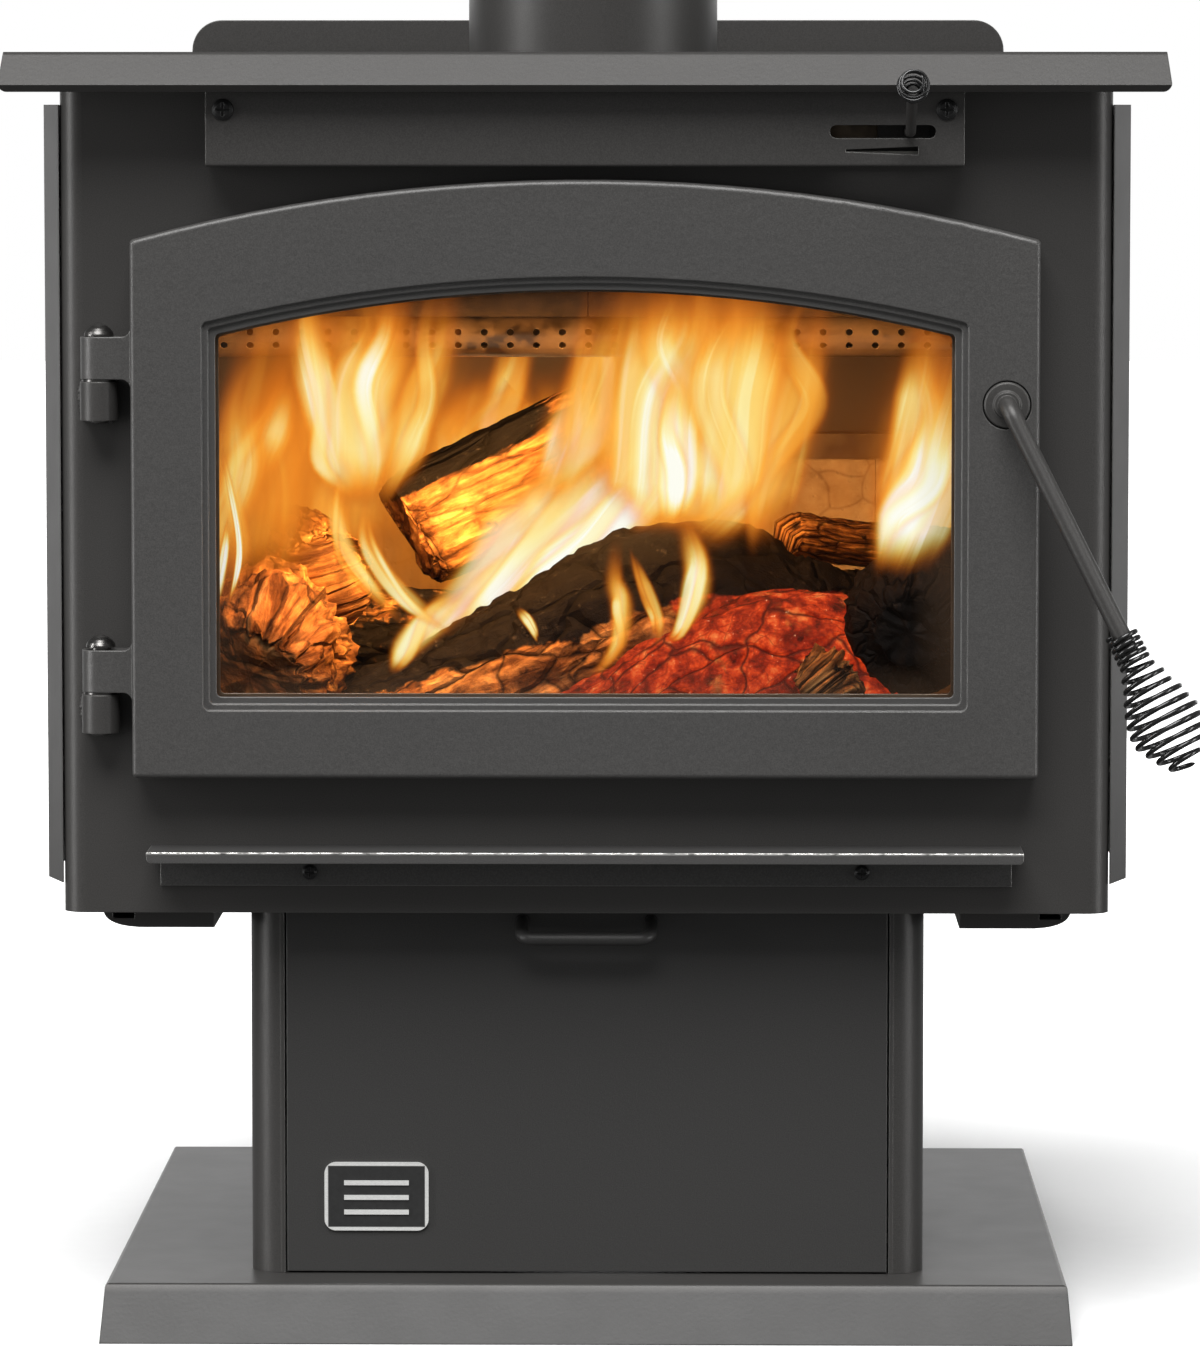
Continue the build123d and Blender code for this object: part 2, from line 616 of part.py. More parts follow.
def under_rails():
    """Folded rails under the firebox, each with a rounded outer end."""
    low = 247.4
    x0, x1 = 226.0, 293.5
    y = (-240.0, 185.0)
    outline = Polyline((x0, BODY_BOTTOM), (x0, low), (x1 - 22, low))
    outline += Bezier((x1 - 22, low), (x1, low + 1), (x1, BODY_BOTTOM - 1))
    outline += Polyline((x1, BODY_BOTTOM - 1), (x1, BODY_BOTTOM), (x0, BODY_BOTTOM))
    face = make_face(outline)
    rail = Pos(0, y[1], 0) * extrude(Plane.XZ * face, y[1] - y[0])
    rail -= block((x0 + 2.5, x1 - 18), (y[0] + 2.5, y[1] + 5), (low + 2.5, BODY_BOTTOM - 2.5))
    rail -= block((x1 - 19, x1 - 6), (y[0] - 5, y[1] + 5), (low + 5.5, BODY_BOTTOM - 2.5))
    return mirrored_pair(rail)


# ---- ash lip ------------------------------------------------------------------
def ash_lip_screw_places():
    """Centres of the two screws in the ash lip's flange, as (x, z)."""
    return ((-166.0, 285.0), (166.0, 285.0))


def ash_lip():
    """Folded shelf under the door: top, short front edge and a flange screwed to the body."""
    top = 300.7
    shelf = block((-261.5, 261.5), (-310, BODY_FRONT), (top - 3, top))
    half = 261.5
    low = top - 6.5
    edge = make_face(Polyline((-half, top), (half, top), (half, low), (-half, low), close=True))
    edge = fillet(edge.vertices().sort_by(Axis.Y)[:2], 3.0)
    shelf += Pos(0, -307, 0) * extrude(Plane.XZ * edge, 3)
    shelf += block((-256, 256), (BODY_FRONT - 3, BODY_FRONT), (276.7, top - 1))
    for x, z in ash_lip_screw_places():
        shelf -= bar((x, BODY_FRONT - 6, z), (x, BODY_FRONT + 3, z), SHEET_SCREW_HOLE)
    return shelf


# ---- hinges -------------------------------------------------------------------
def hinge_barrel(low):
    """Fixed half of a hinge: a bored barrel on a saddle welded to the front wall."""
    z = (low, low + BARREL_HEIGHT)
    barrel = upright(HINGE_X, HINGE_Y, z, BARREL_RADIUS)
    barrel += block((HINGE_X - 9.5, HINGE_X + 9.5), (HINGE_Y, BODY_FRONT), z)
    barrel -= upright(HINGE_X, HINGE_Y, (z[0] - 5, z[1] + 5), HINGE_PIN_RADIUS + 0.04)
    return barrel


def hinge_barrels():
    """Upper and lower fixed hinge halves."""
    return group([hinge_barrel(UPPER_HINGE_BARREL), hinge_barrel(LOWER_HINGE_BARREL)])


def hinge_pins():
    """Upper and lower pins; the lower one stands a little proud."""
    return group([hinge_pin(UPPER_HINGE_BARREL, 607.8), hinge_pin(LOWER_HINGE_BARREL, 422.0)])


def hinge_pin(low, cap_low):
    """Loose pin with a domed cap that drops through the door lug into the barrel."""
    shank = [(low - 1.6, HINGE_PIN_RADIUS - 1.2), (low - 0.4, HINGE_PIN_RADIUS)]
    shank += [(cap_low, HINGE_PIN_RADIUS)]
    cap = [(cap_low, 8.85), (cap_low + 1.2, 8.85), (cap_low + 2.8, 8.2), (cap_low + 4.6, 6.7),
           (cap_low + 6.2, 4.6), (cap_low + 7.2, 2.0)]
    return turned(shank + cap, (HINGE_X, HINGE_Y, 0), (0, 0, 1))


def hinge_washers():
    """Thin washers between the barrels and the door lugs."""
    washers = []
    for low in (LOWER_HINGE_BARREL, UPPER_HINGE_BARREL):
        z = (low + BARREL_HEIGHT, low + BARREL_HEIGHT + HINGE_WASHER)
        washers.append(upright(HINGE_X, HINGE_Y, z, 10.2)
                       - upright(HINGE_X, HINGE_Y, (z[0] - 2, z[1] + 2), HINGE_PIN_RADIUS + 0.05))
    return group(washers)


# ---- door ---------------------------------------------------------------------
def door_lug(low):
    """Arm and eye cast on the door's hinge edge."""
    z0 = low + BARREL_HEIGHT + HINGE_WASHER + 0.25
    z1 = z0 + LUG_HEIGHT
    flare = 5.5
    edge = -DOOR_HALF_WIDTH
    arm = Polyline((HINGE_X, z0), (edge - flare, z0))
    arm += ThreePointArc((edge - flare, z0), (edge - flare * 0.29, z0 - flare * 0.29), (edge, z0 - flare))
    arm += Polyline((edge, z0 - flare), (edge + 2, z0 - flare), (edge + 2, z1 + flare), (edge, z1 + flare))
    arm += ThreePointArc((edge, z1 + flare), (edge - flare * 0.29, z1 + flare * 0.29), (edge - flare, z1))
    arm += Polyline((edge - flare, z1), (HINGE_X, z1), (HINGE_X, z0))
    web = Pos(0, HINGE_Y + LUG_RADIUS, 0) * extrude(Plane.XZ * make_face(arm), 2 * LUG_RADIUS)
    eye = upright(HINGE_X, HINGE_Y, (z0, z1), LUG_RADIUS)
    return web + eye


def door_casting():
    """Cast door: arched frame with a stepped window opening, lugs, gasket groove and latch pocket."""
    door = arched(DOOR_HALF_WIDTH, DOOR_BOTTOM, DOOR_SIDE_TOP, DOOR_APEX, (DOOR_FRONT, DOOR_REAR), 3.0)
    door = fillet(door.faces().sort_by(Axis.Y)[0].edges(), 3.2)
    door -= glass_outline(7.9, (DOOR_FRONT - 5, DOOR_FRONT + 2.6), 4.0)
    door -= glass_outline(4.2, (DOOR_FRONT - 5, DOOR_FRONT + 5.0), 3.0)
    door -= glass_outline(0, (DOOR_FRONT - 5, DOOR_REAR + 5), 3.0)
    door -= glass_outline(11.5, (GLASS_SEAT_Y, DOOR_REAR + 5), 6.0)
    groove = glass_outline(20.5, (DOOR_REAR - 9, DOOR_REAR + 5), 12.0)
    groove -= glass_outline(13.5, (DOOR_REAR - 12, DOOR_REAR + 6), 8.0)
    door -= groove
    door -= block(LATCH_POCKET_X, (LATCH_POCKET_Y, DOOR_REAR + 5), LATCH_POCKET_Z)
    for low in (LOWER_HINGE_BARREL, UPPER_HINGE_BARREL):
        door += door_lug(low)
    door -= upright(HINGE_X, HINGE_Y, (DOOR_BOTTOM, DOOR_APEX), HINGE_PIN_RADIUS + 0.07)
    door -= bar((HANDLE_X, DOOR_FRONT - 5, HANDLE_Z), (HANDLE_X, DOOR_FRONT + 6, HANDLE_Z), 14.6)
    door -= bar((HANDLE_X, DOOR_FRONT, HANDLE_Z), (HANDLE_X, DOOR_REAR, HANDLE_Z), 8.1)
    for x, z in glass_screw_places():
        door -= bar((x, GLASS_SEAT_Y - 4, z), (x, DOOR_REAR, z), 1.65)
    return door


def door_glass():
    """Ceramic glass window."""
    return glass_outline(5, (GLASS_SEAT_Y + 1.0, GLASS_SEAT_Y + 5.0), 4.0)


def glass_gasket():
    """Flat woven tape folded round the edge of the window."""
    tape = glass_outline(6.4, (GLASS_SEAT_Y, GLASS_SEAT_Y + 6.0), 5.0)
    tape -= glass_outline(1.0, (GLASS_SEAT_Y - 5, GLASS_SEAT_Y + 10), 3.0)
    return tape - door_glass()


def glass_screw_places():
    """Centres of the retainer screws, as (x, z), in the margin outside the window's gasket."""
    across = (-150.0, 0.0, 150.0)
    rise = GLASS_APEX - GLASS_SIDE_TOP
    radius = (GLASS_HALF_WIDTH ** 2 + rise ** 2) / (2 * rise)
    centre = GLASS_APEX - radius
    places = [(x, GLASS_BOTTOM - GLASS_SCREW_MARGIN) for x in across]
    places += [(x, centre + math.sqrt((radius + GLASS_SCREW_MARGIN) ** 2 - x ** 2)) for x in across]
    return places


def glass_retainer():
    """Sheet frame that clamps the window and its gasket into the door."""
    y = (GLASS_SEAT_Y + 6.2, GLASS_SEAT_Y + 8.2)
    frame = glass_outline(11.2, y, 6.0) - glass_outline(-1.5, (y[0] - 5, y[1] + 5), 3.0)
    for x, z in glass_screw_places():
        frame -= bar((x, y[0] - 2, z), (x, y[1] + 2, z), 1.65)
    return frame


def glass_screws():
    """Six small screws through the glass retainer into the door."""
    y = GLASS_SEAT_Y + 8.2
    places = glass_screw_places()
    return group(cross_head_screw((x, y, z), (0, 1, 0), 3.0, 2.0, 1.6, 11.5) for x, z in places)


def door_gasket():
    """Rope seal in the door's groove; its back is flattened where it meets the front wall."""
    y = (DOOR_REAR - 8.8, BODY_FRONT - 0.35)
    rope = glass_outline(20.3, y, 12.0) - glass_outline(13.7, (y[0] - 5, y[1] + 5), 8.0)
    back = rope.faces().sort_by(Axis.Y)[-1]
    return fillet(back.edges(), 1.8)


def handle_bushing():
    """Flanged sleeve pressed into the door for the handle shaft."""
    y0 = DOOR_FRONT + 6
    sleeve = bar((HANDLE_X, y0, HANDLE_Z), (HANDLE_X, LATCH_POCKET_Y, HANDLE_Z), 8.05)
    ends = ((HANDLE_X, y0 - 5, HANDLE_Z), (HANDLE_X, LATCH_POCKET_Y + 5, HANDLE_Z))
    return sleeve - bar(*ends, HANDLE_ROD / 2 + 0.06)


# ---- door handle and latch ----------------------------------------------------
def handle_direction():
    """Unit vector down the handle rod, towards its grip."""
    lean = math.radians(HANDLE_LEAN)
    swing = math.radians(HANDLE_SWING)
    return Vector(math.sin(swing) * math.cos(lean), -math.sin(lean), -math.cos(swing) * math.cos(lean))


def handle_elbow():
    """Point where the shaft's axis meets the rod's axis."""
    return Vector(HANDLE_X, DOOR_FRONT - 15, HANDLE_Z)


def door_handle():
    """Steel rod: a shaft through the door, a hub that fills the recess, a bend and the long arm."""
    elbow = handle_elbow()
    end = elbow + handle_direction() * (HANDLE_REACH + 12)
    shaft_end = STRIKE_Y - 1.5 + STRIKE_THICKNESS + 1.0
    rod = bent_rod([(HANDLE_X, shaft_end, HANDLE_Z), elbow, end], 11.0, HANDLE_ROD / 2)
    hub = [(-1.6, 7.6), (0.2, 8.4), (0.4, 12.8), (1.2, 13.7), (6.4, 13.7)]
    rod += turned(hub, (HANDLE_X, DOOR_FRONT - 0.8, HANDLE_Z), (0, 1, 0))
    rod += bar((HANDLE_X, shaft_end - 1, HANDLE_Z), (HANDLE_X, DOOR_REAR - 2, HANDLE_Z), STUD_RADIUS)
    return rod


def handle_grip():
    """Outer shape of the bulging wire-spring grip on the handle."""
    profile = [(0, 9.9), (20, 10.2), (32, 14.5), (46, 20.3), (57, 23.6), (65, 23.2), (74, 18.6),
               (82, 12.4), (87, 8.8)]
    origin = handle_elbow() + handle_direction() * (HANDLE_REACH - 0.5)
    return sprung_shell(profile, origin, handle_direction(), HANDLE_ROD / 2 + 0.05, 3.0)


def latch_cam():
    """Flat cam on the shaft; its finger points down when the door is latched."""
    y = CAM_Y
    reach = 15.0
    cam = bar((HANDLE_X, y[0], HANDLE_Z), (HANDLE_X, y[1], HANDLE_Z), 7.4)
    cam += block((HANDLE_X - 4.5, HANDLE_X + 4.5), y, (HANDLE_Z - reach + 4.5, HANDLE_Z))
    cam += bar((HANDLE_X, y[0], HANDLE_Z - reach + 4.5), (HANDLE_X, y[1], HANDLE_Z - reach + 4.5), 4.5)
    return cam - bar((HANDLE_X, y[0] - 2, HANDLE_Z), (HANDLE_X, y[1] + 2, HANDLE_Z), STUD_RADIUS + 0.02)


def latch_nut():
    """Hexagon nut that holds the cam on the shaft."""
    y = (CAM_Y[1] + 0.1, CAM_Y[1] + 5.6)
    hexagon = Plane.XZ * RegularPolygon(6.5, 6, major_radius=False)
    nut = Pos(HANDLE_X, y[1], HANDLE_Z) * extrude(hexagon, y[1] - y[0])
    return nut - bar((HANDLE_X, y[0] - 2, HANDLE_Z), (HANDLE_X, y[1] + 2, HANDLE_Z), STUD_RADIUS + 0.02)


def latch_strike():
    """Hooked catch welded to the front wall, which the cam's finger turns behind."""
    z = (525.0, HANDLE_Z - 16.2)
    strike = block((246, 264), (BODY_FRONT - 3, BODY_FRONT), z)
    strike += block((261, 264), (STRIKE_Y, BODY_FRONT - 3), z)
    strike += block((247, 264), (STRIKE_Y, STRIKE_Y + STRIKE_THICKNESS), z)
    return strike


# ---- pedestal and base --------------------------------------------------------
def pedestal_bolt_places():
    """Centres of the four bolts at the top and at the foot of the pedestal, as (x, y)."""
    return [(x, y) for x in (-192.0, 192.0) for y in (-130.0, 130.0)]


def pedestal_shell():
    """Pedestal bent from one sheet: back, sides and quarter-round front corners round the open front.

    It has bolt flanges at the top and foot, and a round opening at the back for an outside-air duct.
    """
    half, sheet = PEDESTAL_HALF_WIDTH, PEDESTAL_SHEET
    depth = PEDESTAL_BACK - PEDESTAL_FRONT
    middle = (PEDESTAL_BACK + PEDESTAL_FRONT) / 2
    outer = Pos(0, middle) * Rectangle(2 * half, depth)
    outer = fillet(outer.vertices().sort_by(Axis.Y)[:2], PEDESTAL_CORNER)
    inner = Pos(0, middle) * Rectangle(2 * (half - sheet), depth - 2 * sheet)
    inner = fillet(inner.vertices().sort_by(Axis.Y)[:2], PEDESTAL_CORNER - sheet)
    shell = Pos(0, 0, BASE_HEIGHT) * extrude(outer - inner, BODY_BOTTOM - BASE_HEIGHT)
    mouth = PANEL_HALF_WIDTH + 1.2
    mouth_z = (BASE_HEIGHT - 5, BODY_BOTTOM + 5)
    shell -= block((-mouth, mouth), (PEDESTAL_FRONT - 5, PEDESTAL_FRONT + 10), mouth_z)
    for side in (-1, 1):
        fold = sorted((side * 184, side * (184 + sheet)))
        flange = sorted((side * (half - 23), side * (half - 1)))
        shell += block(fold, (PEDESTAL_FRONT, PEDESTAL_FRONT + 16), (BASE_HEIGHT, BODY_BOTTOM))
        shell += block(flange, (-180, 180), (BODY_BOTTOM - sheet, BODY_BOTTOM))
        shell += block(flange, (-180, 180), (BASE_HEIGHT, BASE_HEIGHT + sheet))
    for x, y in pedestal_bolt_places():
        shell -= upright(x, y, (BASE_HEIGHT - 5, BODY_BOTTOM + 5), PEDESTAL_BOLT_HOLE)
    inlet = ((0, PEDESTAL_BACK - 10, AIR_INLET_Z), (0, PEDESTAL_BACK + 10, AIR_INLET_Z))
    return shell - bar(*inlet, AIR_INLET_RADIUS)


def base_pan():
    """Folded base with a flat top and lips that flare out to the floor."""
    def shell_solid(shrink, low, high):
        foot = Pos(0, -BASE_FLARE_FRONT / 2, low) * Rectangle(
            2 * (BASE_HALF_WIDTH + BASE_FLARE_SIDE - shrink), 2 * (BASE_HALF_DEPTH - shrink) + BASE_FLARE_FRONT)
        crown = Pos(0, 0, high) * Rectangle(2 * (BASE_HALF_WIDTH - shrink), 2 * (BASE_HALF_DEPTH - shrink))
        return loft([foot, crown])

    pan = shell_solid(0, 0, BASE_HEIGHT)
    rim = pan.edges().filter_by_position(Axis.Z, BASE_HEIGHT - 0.1, BASE_HEIGHT + 0.1)
    pan = fillet(rim, 2.5)
    pan -= shell_solid(BASE_SHEET, 0, BASE_HEIGHT - BASE_SHEET)
    for x, y in pedestal_bolt_places():
        pan -= upright(x, y, (BASE_HEIGHT - 10, BASE_HEIGHT + 5), PEDESTAL_BOLT_HOLE)
    for x in (-ANCHOR_SPACING / 2, ANCHOR_SPACING / 2):
        for y in (-ANCHOR_SPACING / 2, ANCHOR_SPACING / 2):
            pan -= upright(x, y, (BASE_HEIGHT - 10, BASE_HEIGHT + 5), ANCHOR_HOLE_RADIUS)
    return pan


def base_brace():
    """Channel across the middle of the base, flat on the floor and welded under the top."""
    half = BASE_HALF_WIDTH - BASE_SHEET - 2
    high = BASE_HEIGHT - BASE_SHEET
    outside = block((-half, half), (-45, 45), (0, high))
    return outside - block((-half - 5, half + 5), (-42, 42), (3, high + 5))


def pedestal_bolts():
    """Bolts from the pedestal flange up into the firebox floor, and down through the base."""
    bolts = []
    for x, y in pedestal_bolt_places():
        bolts.append(hex_bolt((x, y, BODY_BOTTOM - PEDESTAL_SHEET), (0, 0, -1), 13, 5.3, 4.0, 7.4))
        bolts.append(hex_bolt((x, y, BASE_HEIGHT + PEDESTAL_SHEET), (0, 0, 1), 13, 5.3, 4.0, 16))
    return group(bolts)


def pedestal_nuts():
    """Nuts under the base top."""
    z = (BASE_HEIGHT - BASE_SHEET - 6.5, BASE_HEIGHT - BASE_SHEET)
    nuts = []
    for x, y in pedestal_bolt_places():
        nut = Pos(x, y, z[0]) * extrude(RegularPolygon(6.5, 6, major_radius=False), z[1] - z[0])
        nuts.append(nut - upright(x, y, (z[0] - 2, z[1] + 2), 4.05))
    return group(nuts)


# ---- ash plug and chute -------------------------------------------------------
def ash_chute():
    """Square steel sleeve through the firebox floor, with a ledge that the plug sits on."""
    half, thick = CHUTE_HALF, 3.0
    chute = block((-half, half), (CHUTE_Y - half, CHUTE_Y + half), (238, BRICK_FLOOR))
    inner = half - thick
    chute -= block((-inner, inner), (CHUTE_Y - inner, CHUTE_Y + inner), (FLOOR_TOP, BRICK_FLOOR + 5))
    chute -= block((-inner, inner), (CHUTE_Y - inner, CHUTE_Y + inner), (230, FLOOR_TOP - 3))
    mouth = inner - 8
    mouth_y = (CHUTE_Y - mouth, CHUTE_Y + mouth)
    return chute - block((-mouth, mouth), mouth_y, (FLOOR_TOP - 10, FLOOR_TOP + 5))


def ash_plug():
    """Cast plug that closes the ash chute, with a recess and holes for its bail."""
    half = CHUTE_HALF - 4.5
    low = FLOOR_TOP + 0.3
    plug = block((-half, half), (CHUTE_Y - half, CHUTE_Y + half), (low, BRICK_FLOOR - 1))
    spigot = CHUTE_HALF - 12.5
    plug += block((-spigot, spigot), (CHUTE_Y - spigot, CHUTE_Y + spigot), (low - 8, low))
    plug -= block((-32, 32), (CHUTE_Y - 17, CHUTE_Y + 17), (low + 6, BRICK_FLOOR + 5))
    return plug - bar((-38, CHUTE_Y, BAIL_Z), (38, CHUTE_Y, BAIL_Z), 4.05)


def ash_plug_bail():
    """Round bar across the plug's recess, lifted with a hook."""
    return bar((-37.5, CHUTE_Y, BAIL_Z), (37.5, CHUTE_Y, BAIL_Z), 4.0)


# ---- ash drawer ---------------------------------------------------------------
def drawer_front():
    """Tall front panel of the ash drawer with shallow folded edges."""
    half = PANEL_HALF_WIDTH
    z = (BASE_HEIGHT + 1.2, BODY_BOTTOM - 1.6)
    panel = block((-half, half), (PEDESTAL_FRONT, PEDESTAL_FRONT + 14), z)
    panel -= block((-half + 2, half - 2), (PEDESTAL_FRONT + 2, PEDESTAL_FRONT + 20), (z[0] + 2, z[1] - 2))
    for x in DRAWER_HANDLE_X:
        panel -= bar((x, PEDESTAL_FRONT - 5, DRAWER_HANDLE_ROOT_Z),
                     (x, PEDESTAL_FRONT + 5, DRAWER_HANDLE_ROOT_Z), 4.05)
    for x, z_screw in drawer_screw_places():
        panel -= bar((x, PEDESTAL_FRONT + 0.9, z_screw), (x, PEDESTAL_FRONT + 5, z_screw), 2.1)
    return panel


def ash_pan():
    """Open-topped sheet box behind the drawer front."""
    y = (PEDESTAL_FRONT + 2, 120.0)
    pan = block((-PAN_HALF, PAN_HALF), y, PAN_Z)
    inside = PAN_HALF - 1.5
    pan -= block((-inside, inside), (y[0] + 1.5, y[1] - 1.5), (PAN_Z[0] + 1.5, PAN_Z[1] + 5))
    for x, z in drawer_screw_places():
        pan -= bar((x, y[0] - 5, z), (x, y[0] + 5, z), 2.1)
    return pan


def drawer_screw_places():
    """Centres of the four screws between the drawer front and the pan, as (x, z)."""
    return [(x, z) for x in (-140.0, 140.0) for z in (140.0, 205.0)]


def drawer_screws():
    """Screws from inside the pan into the back of the drawer front."""
    y = PEDESTAL_FRONT + 3.5
    places = drawer_screw_places()
    return group(cross_head_screw((x, y, z), (0, 1, 0), 4.0, 2.2, 2.0, 2.4) for x, z in places)


def drawer_handle():
    """Bent rod handle whose legs run up and back to the drawer front."""
    left, right = DRAWER_HANDLE_X
    front = PEDESTAL_FRONT - 27
    high, low = DRAWER_HANDLE_ROOT_Z, DRAWER_HANDLE_BAR_Z
    root, knee = PEDESTAL_FRONT + 4, PEDESTAL_FRONT - 9
    points = [(left, root, high), (left, knee, high), (left, front, low), (right, front, low),
              (right, knee, high), (right, root, high)]
    return bent_rod(points, 7.0, 4.0)


def badge_plate():
    """Plain rounded plate with three raised bars on the lower left of the drawer front."""
    x = (-160.0, -96.5)
    z = (60.5, 102.5)
    face = Pos((x[0] + x[1]) / 2, (z[0] + z[1]) / 2) * RectangleRounded(x[1] - x[0], z[1] - z[0], 7.0)
    plate = Pos(0, PEDESTAL_FRONT, 0) * extrude(Plane.XZ * face, 1.6)
    for i in range(3):
        low = z[0] + 10 + i * 9
        plate += block((x[0] + 12, x[1] - 12), (PEDESTAL_FRONT - 2.4, PEDESTAL_FRONT - 1.6), (low, low + 3))
    return plate


def drawer_rails():
    """Left and right ledges with low guides that the ash pan slides on."""
    wall = PEDESTAL_HALF_WIDTH - PEDESTAL_SHEET
    y = (PEDESTAL_FRONT + 27, PEDESTAL_BACK - 10)
    ledge = PAN_Z[0] - 0.4
    rail = block((PAN_HALF - 12, wall), y, (ledge - 2, ledge))
    rail += block((PAN_HALF + 1.5, PAN_HALF + 3.5), y, (ledge, ledge + 12))
    rail += block((wall - 2, wall), y, (ledge, ledge + 26))
    return mirrored_pair(rail)


NODES = {
    "firebox_wrap": firebox_wrap,
    "firebox_back": firebox_back,
    "firebox_bottom": firebox_bottom,
    "top_plate": top_plate,
    "flue_collar": flue_collar,
    "door_frame_ring": door_frame_ring,
    "floor_bricks": floor_bricks,
    "side_bricks": side_bricks,
    "back_bricks": back_bricks,
    "brick_retainers": brick_retainers,
    "side_air_manifolds": side_manifolds,
    "rear_air_manifold": rear_manifold,
    "burn_tubes": burn_tubes,
    "air_riser": air_riser,
    "baffle_boards": baffle_boards,
    "baffle_blanket": baffle_blanket,
    "air_wash_duct": air_wash_duct,
    "damper_rails": damper_rails,
    "air_cover": air_cover,
    "air_cover_brackets": cover_brackets,
    "air_cover_screws": cover_screws,
    "left_side_shield": left_side_shield,
    "right_side_shield": right_side_shield,
    "rear_shield": rear_shield,
    "shield_spacers": shield_spacers,
    "sheet_screws": sheet_screws,
    "under_rails": under_rails,
    "ash_lip": ash_lip,
    "hinge_barrels": hinge_barrels,
    "hinge_washers": hinge_washers,
    "hinge_pins": hinge_pins,
    "latch_strike": latch_strike,
    "pedestal_shell": pedestal_shell,
    "base_pan": base_pan,
    "base_brace": base_brace,
    "pedestal_bolts": pedestal_bolts,
    "pedestal_nuts": pedestal_nuts,
    "drawer_rails": drawer_rails,
    "ash_chute": ash_chute,
    "door_casting": door_casting,
    "door_glass": door_glass,
    "glass_gasket": glass_gasket,
    "glass_retainer": glass_retainer,
    "glass_screws": glass_screws,
    "door_gasket": door_gasket,
    "handle_bushing": handle_bushing,
    "door_handle": door_handle,
    "handle_grip": handle_grip,
    "latch_cam": latch_cam,
    "latch_nut": latch_nut,
    "air_lever": air_lever,
    "air_lever_knob": air_lever_knob,
    "damper_plate": damper_plate,
    "drawer_front": drawer_front,
    "ash_pan": ash_pan,
    "drawer_screws": drawer_screws,
    "drawer_handle": drawer_handle,
    "badge_plate": badge_plate,
    "ash_plug": ash_plug,
    "ash_plug_bail": ash_plug_bail,
}

os.makedirs("parts", exist_ok=True)
for name, make in NODES.items():
    export_step(make(), "parts/" + name + ".step")
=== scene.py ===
"""Wood burning stove: finishes, wire coils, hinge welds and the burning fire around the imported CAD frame."""
import json
import math
import random

import bpy
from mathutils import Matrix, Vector, noise


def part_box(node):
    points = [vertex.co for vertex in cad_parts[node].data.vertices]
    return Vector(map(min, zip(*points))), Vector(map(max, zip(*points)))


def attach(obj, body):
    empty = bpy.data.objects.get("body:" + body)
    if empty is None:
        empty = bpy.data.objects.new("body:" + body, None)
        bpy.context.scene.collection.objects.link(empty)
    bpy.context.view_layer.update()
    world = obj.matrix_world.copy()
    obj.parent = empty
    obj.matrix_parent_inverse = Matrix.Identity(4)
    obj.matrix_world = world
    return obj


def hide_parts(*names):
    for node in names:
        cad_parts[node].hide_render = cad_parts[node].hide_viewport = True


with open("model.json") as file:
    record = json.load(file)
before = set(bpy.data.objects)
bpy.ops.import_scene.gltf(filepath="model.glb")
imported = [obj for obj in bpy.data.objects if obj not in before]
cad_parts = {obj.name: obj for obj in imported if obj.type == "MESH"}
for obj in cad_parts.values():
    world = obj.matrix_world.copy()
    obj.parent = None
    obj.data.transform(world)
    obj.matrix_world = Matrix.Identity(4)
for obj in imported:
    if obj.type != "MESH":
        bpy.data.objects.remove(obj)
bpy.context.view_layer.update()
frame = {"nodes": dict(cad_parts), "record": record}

NODES = frame["nodes"]
RECORD = frame["record"]
MM = 0.001
FULL_TURN = 2 * math.pi

# Noise scales are in cells per metre, and depths and places in metres.
FLAKE_SCALE, PEEL_SCALE = 1500, 420
PEEL_DEPTH, SAND_DEPTH = 0.0006, 0.0016
FLOOR_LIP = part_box("base_pan")[1].z
# Painted shade: heights between which the paint darkens, from just under the base pan's top downwards.
LIP_PAINTED_SHADE = (FLOOR_LIP - 0.002, FLOOR_LIP - 0.005)
WORN_FRONT, WORN_TOP = (-0.3072, -0.3096), (0.2992, 0.3004)
BRAID_TURNS = 900.0
PANE_RIM_ACROSS, PANE_RIM_UP = 0.03, 0.025
BADGE_RIM = (0.0024, 0.0019)


